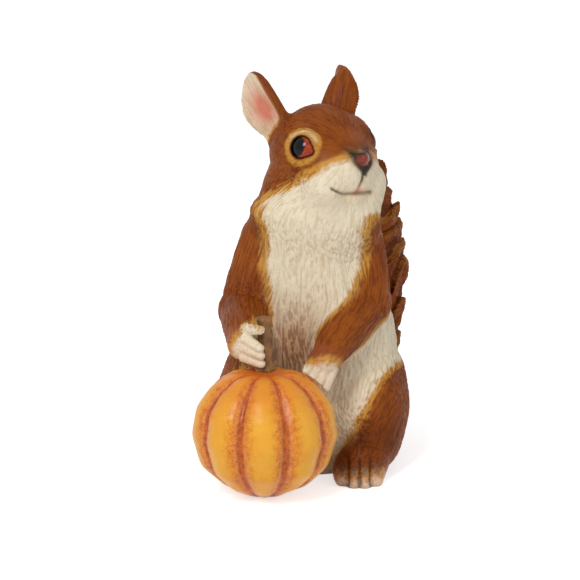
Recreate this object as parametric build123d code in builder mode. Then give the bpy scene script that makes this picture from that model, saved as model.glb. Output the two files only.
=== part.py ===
from build123d import *
import math
import os

# Squirrel figurine sitting up with a pumpkin between its forepaws.
# Millimetres and degrees. It looks along -Y, +Z is up, and the origin is
# on the ground under the middle of the body. Its own left side is +X.

# Fits of the bonded pieces
GLUE_GAP = 0.2
SPIGOT_GAP = 0.15

# Body casting
BODY_HEIGHT = 114.0
BODY_WIDTH = 75.0
BODY_DEPTH = 67.0
BODY_WALL = 4.0
BODY_FLOOR = 5.0
NECK_BLOCK = 20.0
# height, forward set, half width and half depth of each body section
BODY_SHARES = (
    (0.00, 0.13, 0.72, 0.85),
    (0.11, 0.12, 0.82, 0.955),
    (0.29, 0.08, 0.94, 1.00),
    (0.455, 0.06, 1.00, 0.97),
    (0.57, 0.06, 0.95, 0.925),
    (0.70, 0.08, 0.82, 0.83),
    (0.85, 0.13, 0.72, 0.725),
    (1.00, 0.165, 0.70, 0.63),
)
HIP_ROW = 1
TAIL_ROW = 2
SHOULDER_ROW = 6
NECK_ROW = 7

# Plugged pour holes
BODY_HOLE_RADIUS = 8.0
BODY_HOLE_FORWARD = 14.0
PUMPKIN_HOLE_RADIUS = 3.0
PLUG_RECESS = 0.6
PLUG_BEVEL = 0.8

# Pegs that carry the limbs and the tail
LIMB_PEG_RADIUS = 3.5
LIMB_PEG_DEPTH = 6.0
LIMB_PEG_ROOT = 4.0
TAIL_PEG_RADIUS = 5.0
TAIL_PEG_DEPTH = 7.0
TAIL_PEG_ROOT = 6.0

# Head casting, turned to its left
HEAD_YAW = 35.0
HEAD_SIDE = 4.5
HEAD_FORWARD = 7.0
HEAD_RISE = 24.0
HEAD_LENGTH = 52.0
HEAD_WIDTH = 46.5
HEAD_HEIGHT = 41.5
# forward set, rise, half width and half height of each head section
HEAD_SHARES = (
    (-0.442, 0.05, 0.16, 0.20),
    (-0.380, 0.02, 0.56, 0.58),
    (-0.220, 0.00, 0.87, 0.88),
    (-0.040, -0.01, 1.00, 1.00),
    (0.096, -0.06, 0.99, 0.975),
    (0.192, -0.11, 0.92, 0.90),
    (0.290, -0.185, 0.80, 0.785),
    (0.385, -0.25, 0.665, 0.66),
    (0.470, -0.265, 0.50, 0.525),
    (0.530, -0.215, 0.32, 0.375),
    (0.558, -0.165, 0.12, 0.14),
)
EYE_ROW = 5
EAR_ROW = 2
NECK_SPIGOT_RADIUS = 9.0
NECK_SPIGOT_LENGTH = 12.0
NECK_RISE = 26.0
# height, way to the head axis, half width and half depth of each neck section
NECK_SHARES = (
    (0.00, 0.00, 1.00, 1.00),
    (0.30, 0.22, 0.92, 0.97),
    (0.65, 0.55, 0.84, 0.93),
    (1.00, 1.00, 0.74, 0.82),
)
MUZZLE_PUFF_RADIUS = 10.4
MUZZLE_PUFF_SPREAD = 9.4
MUZZLE_PUFF_FORWARD = 15.6
MUZZLE_PUFF_DROP = 11.4
NOSE_RADIUS = 4.2
NOSE_FORWARD = 26.6
NOSE_RISE = 1.2

# Inset eyes
EYE_RADIUS = 5.2
EYE_DOME = 2.4
EYE_SKIRT = 2.4
EYE_RISE = 5.5
EYE_OUT_TURN = 24.0
EYE_UP_TILT = 14.0

# Ears
EAR_LENGTH = 26.5
EAR_WIDTH = 19.5
EAR_FOOT = 13.0
EAR_ROOT = 4.0
EAR_CUP_RADIUS = 10.5
EAR_THICKNESS = 2.8
EAR_SPREAD = 15.4
EAR_SPLAY = 24.0
EAR_SWEEP = 20.0
EAR_TURN = 12.0
# way across and way up of the points along one edge of an ear
EAR_EDGE_SHARES = ((0.94, 0.16), (1.00, 0.42), (0.78, 0.74), (0.38, 0.94))
EAR_PEG_RADIUS = 2.0
EAR_PEG_LENGTH = 7.0

# Pumpkin
PUMPKIN_RADIUS = 31.0
PUMPKIN_HEIGHT = 54.6
PUMPKIN_SIDE = 20.4
PUMPKIN_BED = 2.4
PUMPKIN_WALL = 4.0
PUMPKIN_LOBES = 9
PUMPKIN_TURN = 18.0
GROOVE_DEPTH = 3.0
# height and radius of each pumpkin section
PUMPKIN_SHARES = (
    (0.00, 0.15),
    (0.02, 0.28),
    (0.10, 0.58),
    (0.26, 0.87),
    (0.50, 1.00),
    (0.72, 0.93),
    (0.88, 0.72),
    (0.97, 0.46),
    (1.00, 0.30),
)
# set of the points round one lobe and how deep each lies in the groove
LOBE_SHARES = (
    (0.00, 1.00),
    (0.10, 0.67),
    (0.22, 0.26),
    (0.50, 0.00),
    (0.78, 0.26),
    (0.90, 0.67),
)

# Stem of the pumpkin
STEM_HEIGHT = 22.0
STEM_RADIUS = 3.7
STEM_SETBACK = 2.5
STEM_LEAN = 1.6
STEM_RIBS = 5
STEM_RIB_DEPTH = 0.6
STEM_PEG_RADIUS = 2.2
STEM_PEG_LENGTH = 7.0
# height, lean and radius of each stem section
STEM_SHARES = (
    (0.00, 0.00, 1.55),
    (0.16, 0.10, 1.14),
    (0.55, 0.45, 0.96),
    (0.90, 0.90, 1.00),
    (1.00, 1.00, 0.94),
)

# Forelimbs
SHOULDER_RADIUS = 13.2
SHOULDER_INSET = 8.5
SHOULDER_FORWARD = 6.0
SHOULDER_LIFT = 4.0
ELBOW_RADIUS = 12.0
RIGHT_ELBOW_SWING = 10.7
RIGHT_ELBOW_LEAD = 9.0
RIGHT_ELBOW_DROP = 31.0
LEFT_ELBOW_SWING = 4.3
LEFT_ELBOW_LEAD = 8.0
LEFT_ELBOW_DROP = 27.0
RIGHT_PAW_OUT = 5.6
RIGHT_PAW_BACK = 3.0
RIGHT_PAW_RISE = 9.5
LEFT_PAW_STANDOFF = 8.6
LEFT_PAW_AZIMUTH = 31.0
LEFT_PAW_ELEVATION = 43.0
PAW_RADIUS = 6.6
PAW_SPAN = 10.0
FINGER_LENGTH = 9.5
FINGER_RADIUS = 2.6
CLAW_RADIUS = 1.9
# root and tip of each finger from the middle of its paw
RIGHT_FINGER_SHARES = (
    ((0.02, -0.20, 0.72), (0.62, -0.72, 0.78)),
    ((0.00, -0.42, 0.42), (0.82, -0.92, -0.02)),
    ((-0.02, -0.42, 0.02), (0.95, -0.94, -0.38)),
    ((-0.04, -0.36, -0.40), (0.98, -0.82, -0.74)),
)
LEFT_FINGER_SHARES = (
    ((-0.30, 0.00, 0.30), (-0.62, -0.50, -0.10)),
    ((-0.10, -0.10, 0.10), (-0.42, -0.62, -0.42)),
    ((0.14, -0.14, -0.08), (-0.14, -0.62, -0.66)),
    ((0.40, -0.12, -0.22), (0.16, -0.52, -0.84)),
)

# Haunches
HAUNCH_PROUD = 6.0
HAUNCH_LEAD = 5.5
HAUNCH_RISE = 24.0
HAUNCH_WIDTH = 38.0
HAUNCH_DEPTH = 64.0
HAUNCH_HEIGHT = 54.0
HAUNCH_ANGLES = (-84.0, -58.0, -30.0, 0.0, 30.0, 58.0, 84.0)

# Hind feet
FOOT_INSET = 4.5
FOOT_LEAD = 11.5
FOOT_WIDTH = 20.0
FOOT_HEIGHT = 12.5
FOOT_LENGTH = 34.0
FOOT_SINK_SHARE = 0.30
RIGHT_FOOT_SETBACK = 14.5
TOE_RADIUS = 3.1
TOE_LENGTH = 14.0
TOE_SINK_SHARE = 0.88
FOOT_PEG_RADIUS = 2.2
FOOT_PEG_OUT = 2.0
FOOT_PEG_RISE = 5.2
FOOT_PEG_DEPTH = 5.0
# way from toe line to heel, half width and height of each foot section
FOOT_SHARES = (
    (0.00, 0.93, 0.80),
    (0.16, 1.00, 0.96),
    (0.45, 0.90, 1.00),
    (0.80, 0.72, 0.86),
    (1.00, 0.48, 0.60),
)
TOE_SHARES = (-0.74, -0.25, 0.25, 0.74)
TOE_REACH_SHARES = (0.56, 1.00, 0.94, 0.44)

# Tail standing behind the back
TAIL_HEIGHT = 146.0
TAIL_WIDTH = 68.0
TAIL_THICKNESS = 26.0
TAIL_SIDE = 7.5
TAIL_STANDOFF = 9.2
TAIL_FOOT = 5.0
# height, back set, half width and half thickness of each tail section
TAIL_SHARES = (
    (0.00, 0.78, 0.45, 0.55),
    (0.09, 0.88, 0.75, 0.86),
    (0.26, 0.96, 0.92, 0.98),
    (0.46, 0.97, 1.00, 1.00),
    (0.60, 0.90, 0.965, 1.00),
    (0.72, 0.82, 0.795, 0.98),
    (0.85, 0.78, 0.56, 0.90),
    (0.94, 0.84, 0.385, 0.72),
    (1.00, 0.95, 0.16, 0.30),
)
LOCK_LENGTH = 11.0
LOCK_ROOT_RADIUS = 4.2
LOCK_TIP_RADIUS = 2.6
LOCK_SPLAY = 46.0
LOCK_SINK = 2.0
# height and half width of the root of each lock on the edge of the tail
EDGE_LOCK_SHARES = (
    (0.15, 0.55),
    (0.22, 0.635),
    (0.29, 0.70),
    (0.36, 0.72),
    (0.43, 0.775),
    (0.50, 0.75),
    (0.57, 0.675),
    (0.64, 0.655),
    (0.71, 0.515),
    (0.78, 0.44),
)
# height, half width of the root and lean toward the edge of each lock on the back of the tail
BACK_LOCK_SHARES = (
    (0.12, 0.14, 0.06),
    (0.24, 0.16, 0.06),
    (0.36, 0.16, 0.06),
    (0.48, 0.16, 0.06),
    (0.60, 0.16, 0.06),
    (0.72, 0.14, 0.06),
    (0.18, 0.42, 0.22),
    (0.30, 0.48, 0.22),
    (0.42, 0.50, 0.22),
    (0.54, 0.50, 0.22),
    (0.66, 0.42, 0.22),
)

# way along a limb segment and how full it is against its end joints
SEGMENT_SHARES = ((0.00, 0.95), (0.50, 1.00), (1.00, 0.95))

# Points that carry an oval section
OVAL_POINTS = 12
OVAL_ANGLES = [2 * math.pi * step / OVAL_POINTS for step in range(OVAL_POINTS)]

os.makedirs("parts", exist_ok=True)


def blend(start, end, share):
    """Point a share of the way from one point to another."""
    return start + (end - start) * share


def shifted(plane, side, rise, ahead):
    """Copy of a plane moved along its own axes."""
    return Plane(plane.from_local_coords((side, rise, ahead)), x_dir=plane.x_dir, z_dir=plane.z_dir)


def facing(origin, direction):
    """Plane at a point that looks along a direction, with a level side axis."""
    ahead = Vector(*direction).normalized()
    side = Vector(1, 0, 0) - ahead * ahead.X
    return Plane(origin, x_dir=side, z_dir=ahead)


def oval(plane, half_width, half_height):
    """Oval face on a plane."""
    points = [(half_width * math.cos(turn), half_height * math.sin(turn)) for turn in OVAL_ANGLES]
    with BuildSketch(plane) as face:
        with BuildLine():
            Spline(*points, periodic=True)
        make_face()
    return face.sketch


def lobed(plane, radius, depth, lobes, turn):
    """Ribbed round face on a plane."""
    points = []
    for lobe in range(lobes):
        for step_share, depth_share in LOBE_SHARES:
            angle = math.radians(turn) + 2 * math.pi * (lobe + step_share) / lobes
            reach = radius - depth * depth_share
            points.append((reach * math.cos(angle), reach * math.sin(angle)))
    with BuildSketch(plane) as face:
        with BuildLine():
            Spline(*points, periodic=True)
        make_face()
    return face.sketch


def body_sections(grow, low, high):
    """Ovals up the body, each grown outward."""
    sections = []
    for height, ahead, width, depth in BODY_SHARES:
        level = low + height * (high - low)
        plane = Plane((0, -ahead * BODY_DEPTH / 2, level))
        sections.append(oval(plane, width * BODY_WIDTH / 2 + grow, depth * BODY_DEPTH / 2 + grow))
    return sections


def head_sections(grow):
    """Ovals from the back of the head to the nose, each grown outward."""
    sections = []
    for ahead, rise, width, height in HEAD_SHARES:
        plane = shifted(head_plane, 0, rise * HEAD_HEIGHT / 2, ahead * HEAD_LENGTH)
        sections.append(oval(plane, width * HEAD_WIDTH / 2 + grow, height * HEAD_HEIGHT / 2 + grow))
    return sections


def neck_sections(grow):
    """Ovals up the neck, each grown outward."""
    sections = []
    for height, way, width, depth in NECK_SHARES:
        middle = blend(neck_centre, Vector(head_centre.X, head_centre.Y, BODY_HEIGHT), way)
        plane = Plane((middle.X, middle.Y, BODY_HEIGHT + GLUE_GAP - grow + height * NECK_RISE))
        half_width = width * BODY_SHARES[NECK_ROW][2] * BODY_WIDTH / 2 + grow
        sections.append(oval(plane, half_width, depth * BODY_SHARES[NECK_ROW][3] * BODY_DEPTH / 2 + grow))
    return sections


def haunch_sections(side, grow):
    """Ovals up a haunch, each grown outward."""
    sections = []
    for angle in HAUNCH_ANGLES:
        level = HAUNCH_RISE + HAUNCH_HEIGHT / 2 * math.sin(math.radians(angle))
        around = math.cos(math.radians(angle))
        plane = Plane((side * haunch_spread, -haunch_ahead, level))
        half_width = HAUNCH_WIDTH / 2 * around + grow
        sections.append(oval(plane, half_width, HAUNCH_DEPTH / 2 * around + grow))
    return sections


def pumpkin_sections(grow):
    """Plain circles up the pumpkin, each grown outward."""
    sections = []
    for height, radius in PUMPKIN_SHARES:
        reach = radius * PUMPKIN_RADIUS + grow
        plane = Plane((pumpkin_centre.X, pumpkin_centre.Y, height * PUMPKIN_HEIGHT))
        sections.append(oval(plane, reach, reach))
    return sections


def stem_sections(grow):
    """Ribbed rounds up the stem, each grown outward."""
    sections = []
    for height, lean, radius in STEM_SHARES:
        plane = Plane(stem_foot + Vector(0, lean * STEM_LEAN, height * STEM_HEIGHT))
        sections.append(lobed(plane, radius * STEM_RADIUS + grow, STEM_RIB_DEPTH, STEM_RIBS, 0))
    return sections


# Seats and centres that several pieces share
head_turn = math.radians(HEAD_YAW)
head_ahead = Vector(math.sin(head_turn), -math.cos(head_turn), 0)
head_left = Vector(math.cos(head_turn), math.sin(head_turn), 0)
head_centre = Vector(HEAD_SIDE, -HEAD_FORWARD, BODY_HEIGHT + HEAD_RISE)
head_plane = Plane(head_centre, x_dir=head_left, z_dir=head_ahead)
neck_centre = Vector(0, -BODY_SHARES[NECK_ROW][1] * BODY_DEPTH / 2, BODY_HEIGHT)

hip_height = BODY_SHARES[HIP_ROW][0] * BODY_HEIGHT
hip_half_width = BODY_SHARES[HIP_ROW][2] * BODY_WIDTH / 2
shoulder_peg_height = BODY_SHARES[SHOULDER_ROW][0] * BODY_HEIGHT
shoulder_half_width = BODY_SHARES[SHOULDER_ROW][2] * BODY_WIDTH / 2
tail_peg_height = BODY_SHARES[TAIL_ROW][0] * BODY_HEIGHT
back_reach = (BODY_SHARES[TAIL_ROW][3] - BODY_SHARES[TAIL_ROW][1]) * BODY_DEPTH / 2

# The pumpkin beds a little way into the belly
belly_ahead = BODY_SHARES[TAIL_ROW][1] * BODY_DEPTH / 2
belly_reach = BODY_SHARES[TAIL_ROW][3] * BODY_DEPTH / 2 + PUMPKIN_RADIUS - PUMPKIN_BED
belly_spread = BODY_SHARES[TAIL_ROW][2] * BODY_WIDTH / 2 + PUMPKIN_RADIUS - PUMPKIN_BED
pumpkin_ahead = belly_ahead + belly_reach * math.sqrt(1 - (PUMPKIN_SIDE / belly_spread) ** 2)
pumpkin_centre = Vector(-PUMPKIN_SIDE, -pumpkin_ahead, PUMPKIN_HEIGHT / 2)
stem_foot = Vector(-PUMPKIN_SIDE, -pumpkin_ahead + STEM_SETBACK, PUMPKIN_HEIGHT + GLUE_GAP)

right_paw = stem_foot + Vector(-STEM_RADIUS - RIGHT_PAW_OUT, RIGHT_PAW_BACK, RIGHT_PAW_RISE)
paw_level = math.cos(math.radians(LEFT_PAW_ELEVATION))
left_paw_way = Vector(
    paw_level * math.cos(math.radians(LEFT_PAW_AZIMUTH)),
    paw_level * math.sin(math.radians(LEFT_PAW_AZIMUTH)),
    math.sin(math.radians(LEFT_PAW_ELEVATION)),
)
left_paw = pumpkin_centre + left_paw_way * (PUMPKIN_RADIUS + LEFT_PAW_STANDOFF)
shoulder_spread = shoulder_half_width - SHOULDER_INSET
shoulder_height = shoulder_peg_height + SHOULDER_LIFT
left_shoulder = Vector(shoulder_spread, -SHOULDER_FORWARD, shoulder_height)
right_shoulder = Vector(-shoulder_spread, -SHOULDER_FORWARD, shoulder_height)
left_elbow = left_shoulder + Vector(LEFT_ELBOW_SWING, -LEFT_ELBOW_LEAD, -LEFT_ELBOW_DROP)
right_elbow = right_shoulder + Vector(-RIGHT_ELBOW_SWING, -RIGHT_ELBOW_LEAD, -RIGHT_ELBOW_DROP)

haunch_spread = BODY_WIDTH / 2 + HAUNCH_PROUD - HAUNCH_WIDTH / 2
haunch_ahead = BODY_DEPTH / 2 + HAUNCH_LEAD - HAUNCH_DEPTH / 2
foot_spread = haunch_spread - FOOT_INSET
foot_reach = BODY_DEPTH / 2 + FOOT_LEAD
foot_peg_spread = haunch_spread + FOOT_PEG_OUT
foot_peg_drop = (HAUNCH_RISE - FOOT_PEG_RISE) / (HAUNCH_HEIGHT / 2)
foot_peg_ahead = haunch_ahead + HAUNCH_DEPTH / 2 * math.sqrt(1 - foot_peg_drop**2)
tail_back = back_reach + TAIL_STANDOFF

with BuildPart() as body_seat:
    loft(sections=body_sections(GLUE_GAP, 0, BODY_HEIGHT))

with BuildPart() as head_seat:
    loft(sections=head_sections(GLUE_GAP))

with BuildPart() as neck_seat:
    loft(sections=neck_sections(GLUE_GAP))

with BuildPart() as pumpkin_seat:
    loft(sections=pumpkin_sections(GLUE_GAP))

with BuildPart() as left_haunch_seat:
    loft(sections=haunch_sections(1, GLUE_GAP))

with BuildPart() as right_haunch_seat:
    loft(sections=haunch_sections(-1, GLUE_GAP))

with BuildPart() as stem_seat:
    loft(sections=stem_sections(GLUE_GAP))

# Body: hollow casting with a flat foot and open sockets
with BuildPart() as body:
    loft(sections=body_sections(0, 0, BODY_HEIGHT))
    loft(
        sections=body_sections(-BODY_WALL, BODY_FLOOR, BODY_HEIGHT - NECK_BLOCK),
        mode=Mode.SUBTRACT,
    )
    with Locations((0, -BODY_HOLE_FORWARD, 0)):
        Cylinder(BODY_HOLE_RADIUS, 2 * BODY_FLOOR + BODY_WALL, mode=Mode.SUBTRACT)
    with Locations(neck_centre):
        Cylinder(
            NECK_SPIGOT_RADIUS + SPIGOT_GAP,
            NECK_SPIGOT_LENGTH + SPIGOT_GAP,
            align=(Align.CENTER, Align.CENTER, Align.MAX),
            mode=Mode.SUBTRACT,
        )
    for side in (-1, 1):
        shoulder_seat = (side * shoulder_half_width, -SHOULDER_FORWARD, shoulder_peg_height)
        with Locations(Plane(shoulder_seat, z_dir=(side, 0, 0))):
            Cylinder(LIMB_PEG_RADIUS + SPIGOT_GAP, 2 * LIMB_PEG_DEPTH, mode=Mode.SUBTRACT)
        with Locations(Plane((side * hip_half_width, -haunch_ahead, hip_height), z_dir=(side, 0, 0))):
            Cylinder(LIMB_PEG_RADIUS + SPIGOT_GAP, 2 * LIMB_PEG_DEPTH, mode=Mode.SUBTRACT)
    with Locations(Plane((TAIL_SIDE, back_reach, tail_peg_height), z_dir=(0, 1, 0))):
        Cylinder(TAIL_PEG_RADIUS + SPIGOT_GAP, 2 * TAIL_PEG_DEPTH, mode=Mode.SUBTRACT)

# Stopper of the pour hole under the body
with BuildPart() as body_plug:
    with Locations((0, -BODY_HOLE_FORWARD, PLUG_RECESS)):
        Cylinder(
            BODY_HOLE_RADIUS - SPIGOT_GAP,
            BODY_FLOOR - PLUG_RECESS,
            align=(Align.CENTER, Align.CENTER, Align.MIN),
        )
    chamfer(body_plug.edges().sort_by(Axis.Z)[0], PLUG_BEVEL)

# Head: skull, muzzle and neck in one casting
eye_ahead, eye_drop, eye_width, eye_height = HEAD_SHARES[EYE_ROW]
eye_lift = (EYE_RISE - eye_drop * HEAD_HEIGHT / 2) / (eye_height * HEAD_HEIGHT / 2)
eye_spread = eye_width * HEAD_WIDTH / 2 * math.sqrt(1 - eye_lift**2)


def eye_plane(side):
    """Plane on the side of the head that an eye looks out from."""
    tilt = math.radians(EYE_UP_TILT)
    turn = math.radians(EYE_OUT_TURN)
    level = math.cos(tilt)
    look = (
        head_left * (side * level * math.cos(turn))
        + head_ahead * (level * math.sin(turn))
        + Vector(0, 0, math.sin(tilt))
    )
    place = head_plane.from_local_coords((side * eye_spread, EYE_RISE, eye_ahead * HEAD_LENGTH))
    return facing(place, look)


def ear_plane(side):
    """Plane of an ear: side axis across it, second axis up it, normal out of its cup."""
    up = (
        Vector(0, 0, 1)
        + head_left * (side * math.tan(math.radians(EAR_SPLAY)))
        - head_ahead * math.tan(math.radians(EAR_SWEEP))
    ).normalized()
    turn = math.radians(EAR_TURN)
    open_way = head_left * (side * math.cos(turn)) + head_ahead * math.sin(turn)
    open_way = (open_way - up * open_way.dot(up)).normalized()
    row_ahead, row_rise, row_width, row_height = HEAD_SHARES[EAR_ROW]
    lift = math.sqrt(1 - (EAR_SPREAD / (row_width * HEAD_WIDTH / 2)) ** 2)
    rise = row_rise * HEAD_HEIGHT / 2 + lift * row_height * HEAD_HEIGHT / 2
    place = head_plane.from_local_coords((side * EAR_SPREAD, rise, row_ahead * HEAD_LENGTH))
    return Plane(place, x_dir=up.cross(open_way), z_dir=open_way)


def ear_peg_plane(side):
    """Plane at the root of an ear that looks up along its peg."""
    seat = ear_plane(side)
    root = seat.from_local_coords((0, 0, -EAR_THICKNESS / 2))
    return Plane(root, x_dir=seat.x_dir, z_dir=seat.y_dir)


with BuildPart() as head:
    loft(sections=head_sections(0))
    loft(sections=neck_sections(0))
    for side in (-1, 1):
        puff = (side * MUZZLE_PUFF_SPREAD, -MUZZLE_PUFF_DROP, MUZZLE_PUFF_FORWARD)
        with Locations(head_plane.from_local_coords(puff)):
            Sphere(MUZZLE_PUFF_RADIUS)
    with Locations(head_plane.from_local_coords((0, NOSE_RISE, NOSE_FORWARD))):
        Sphere(NOSE_RADIUS)
    with Locations(neck_centre + Vector(0, 0, GLUE_GAP)):
        Cylinder(
            NECK_SPIGOT_RADIUS,
            NECK_SPIGOT_LENGTH,
            align=(Align.CENTER, Align.CENTER, Align.MAX),
        )
    for side in (-1, 1):
        with Locations(eye_plane(side)):
            Cylinder(EYE_RADIUS + SPIGOT_GAP, 2 * EYE_SKIRT, mode=Mode.SUBTRACT)
        with Locations(ear_peg_plane(side)):
            Cylinder(EAR_PEG_RADIUS + SPIGOT_GAP, 2 * EAR_PEG_LENGTH, mode=Mode.SUBTRACT)


def eye_profile(seat):
    """Half section of an eye: a round skirt under a dome."""
    cap_radius = (EYE_RADIUS**2 + EYE_DOME**2) / (2 * EYE_DOME)
    half_turn = math.asin(EYE_RADIUS / cap_radius) / 2
    crown = EYE_DOME - cap_radius
    shoulder = (cap_radius * math.sin(half_turn), crown + cap_radius * math.cos(half_turn))
    foot = SPIGOT_GAP - EYE_SKIRT
    with BuildSketch(Plane(seat.origin, x_dir=seat.x_dir, z_dir=-seat.y_dir)) as face:
        with BuildLine():
            Polyline((0, EYE_DOME), (0, foot), (EYE_RADIUS, foot), (EYE_RADIUS, 0))
            ThreePointArc((EYE_RADIUS, 0), shoulder, (0, EYE_DOME))
        make_face()
    return face.sketch


# Eyes: glossy domes set in round sockets
with BuildPart() as left_eye:
    left_look = eye_plane(1)
    add(eye_profile(left_look))
    revolve(axis=Axis(left_look.origin, left_look.z_dir))

with BuildPart() as right_eye:
    right_look = eye_plane(-1)
    add(eye_profile(right_look))
    revolve(axis=Axis(right_look.origin, right_look.z_dir))


def ear_leaf(seat):
    """Leaf outline of an ear on its plane."""
    half_foot = EAR_FOOT / 2
    edge = [(across * EAR_WIDTH / 2, up * EAR_LENGTH) for across, up in EAR_EDGE_SHARES]
    other = [(-across, up) for across, up in reversed(edge)]
    with BuildSketch(seat) as face:
        with BuildLine():
            Spline((half_foot, -EAR_ROOT), *edge, (0, EAR_LENGTH), *other, (-half_foot, -EAR_ROOT))
            Line((-half_foot, -EAR_ROOT), (half_foot, -EAR_ROOT))
        make_face()
    return face.sketch


def ear_cup_plane(side):
    """Plane on the middle line of the round cup of an ear."""
    seat = ear_plane(side)
    return Plane(seat.from_local_coords((0, 0, EAR_CUP_RADIUS)), x_dir=seat.x_dir, z_dir=seat.y_dir)


# Ears: leaves curled round a cup, each on a peg
with BuildPart() as left_ear:
    extrude(to_extrude=ear_leaf(ear_plane(1)), amount=EAR_CUP_RADIUS, both=True)
    with Locations(ear_cup_plane(1)):
        Cylinder(EAR_CUP_RADIUS + EAR_THICKNESS, 3 * EAR_LENGTH, mode=Mode.INTERSECT)
        Cylinder(EAR_CUP_RADIUS, 3 * EAR_LENGTH, mode=Mode.SUBTRACT)
    add(head_seat.part, mode=Mode.SUBTRACT)
    with Locations(ear_peg_plane(1)):
        Cylinder(EAR_PEG_RADIUS, 2 * (EAR_PEG_LENGTH - SPIGOT_GAP))

with BuildPart() as right_ear:
    extrude(to_extrude=ear_leaf(ear_plane(-1)), amount=EAR_CUP_RADIUS, both=True)
    with Locations(ear_cup_plane(-1)):
        Cylinder(EAR_CUP_RADIUS + EAR_THICKNESS, 3 * EAR_LENGTH, mode=Mode.INTERSECT)
        Cylinder(EAR_CUP_RADIUS, 3 * EAR_LENGTH, mode=Mode.SUBTRACT)
    add(head_seat.part, mode=Mode.SUBTRACT)
    with Locations(ear_peg_plane(-1)):
        Cylinder(EAR_PEG_RADIUS, 2 * (EAR_PEG_LENGTH - SPIGOT_GAP))


def segment(start, end, start_radius, end_radius):
    """Round sections of a limb segment, a little slimmer than the joints at its ends."""
    way = end - start
    sections = []
    for share, swell in SEGMENT_SHARES:
        radius = (start_radius + (end_radius - start_radius) * share) * swell
        sections.append(oval(facing(blend(start, end, share), way), radius, radius))
    return sections


def finger_roots(paw, finger_shares):
    """Planes at the roots of the fingers of a paw that look along them."""
    planes = []
    for root_share, tip_share in finger_shares:
        root = paw + Vector(*root_share) * PAW_SPAN
        planes.append(facing(root, Vector(*tip_share) - Vector(*root_share)))
    return planes


# Forelimbs: upper arm, forearm and paw with four fingers, cut to what they rest on
with BuildPart() as left_arm:
    with Locations(left_shoulder):
        Sphere(SHOULDER_RADIUS)
    with Locations(left_elbow):
        Sphere(ELBOW_RADIUS)
    with Locations(left_paw):
        Sphere(PAW_RADIUS)
    loft(sections=segment(left_shoulder, left_elbow, SHOULDER_RADIUS, ELBOW_RADIUS))
    loft(sections=segment(left_elbow, left_paw, ELBOW_RADIUS, PAW_RADIUS))
    left_roots = finger_roots(left_paw, LEFT_FINGER_SHARES)
    with Locations(*left_roots):
        Cone(FINGER_RADIUS, CLAW_RADIUS, FINGER_LENGTH, align=(Align.CENTER, Align.CENTER, Align.MIN))
    with Locations(*[shifted(root, 0, 0, FINGER_LENGTH) for root in left_roots]):
        Sphere(CLAW_RADIUS)
    add([body_seat.part, neck_seat.part, pumpkin_seat.part], mode=Mode.SUBTRACT)
    with Locations(Plane((shoulder_half_width, -SHOULDER_FORWARD, shoulder_peg_height), z_dir=(1, 0, 0))):
        with Locations((0, 0, SPIGOT_GAP - LIMB_PEG_DEPTH)):
            Cylinder(
                LIMB_PEG_RADIUS,
                LIMB_PEG_DEPTH + LIMB_PEG_ROOT,
                align=(Align.CENTER, Align.CENTER, Align.MIN),
            )

with BuildPart() as right_arm:
    with Locations(right_shoulder):
        Sphere(SHOULDER_RADIUS)
    with Locations(right_elbow):
        Sphere(ELBOW_RADIUS)
    with Locations(right_paw):
        Sphere(PAW_RADIUS)
    loft(sections=segment(right_shoulder, right_elbow, SHOULDER_RADIUS, ELBOW_RADIUS))
    loft(sections=segment(right_elbow, right_paw, ELBOW_RADIUS, PAW_RADIUS))
    right_roots = finger_roots(right_paw, RIGHT_FINGER_SHARES)
    with Locations(*right_roots):
        Cone(FINGER_RADIUS, CLAW_RADIUS, FINGER_LENGTH, align=(Align.CENTER, Align.CENTER, Align.MIN))
    with Locations(*[shifted(root, 0, 0, FINGER_LENGTH) for root in right_roots]):
        Sphere(CLAW_RADIUS)
    add([body_seat.part, neck_seat.part, pumpkin_seat.part, stem_seat.part], mode=Mode.SUBTRACT)
    with Locations(Plane((-shoulder_half_width, -SHOULDER_FORWARD, shoulder_peg_height), z_dir=(-1, 0, 0))):
        with Locations((0, 0, SPIGOT_GAP - LIMB_PEG_DEPTH)):
            Cylinder(
                LIMB_PEG_RADIUS,
                LIMB_PEG_DEPTH + LIMB_PEG_ROOT,
                align=(Align.CENTER, Align.CENTER, Align.MIN),
            )

# Haunches: rounded thighs seated on the sides of the body
with BuildPart() as left_haunch:
    loft(sections=haunch_sections(1, 0))
    split(bisect_by=Plane.XY, keep=Keep.TOP)
    add(body_seat.part, mode=Mode.SUBTRACT)
    with Locations(Plane((hip_half_width, -haunch_ahead, hip_height), z_dir=(1, 0, 0))):
        with Locations((0, 0, SPIGOT_GAP - LIMB_PEG_DEPTH)):
            Cylinder(
                LIMB_PEG_RADIUS,
                LIMB_PEG_DEPTH + LIMB_PEG_ROOT,
                align=(Align.CENTER, Align.CENTER, Align.MIN),
            )
    with Locations(Plane((foot_peg_spread, -foot_peg_ahead, FOOT_PEG_RISE), z_dir=(0, 1, 0))):
        Cylinder(FOOT_PEG_RADIUS + SPIGOT_GAP, 2 * FOOT_PEG_DEPTH, mode=Mode.SUBTRACT)

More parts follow.
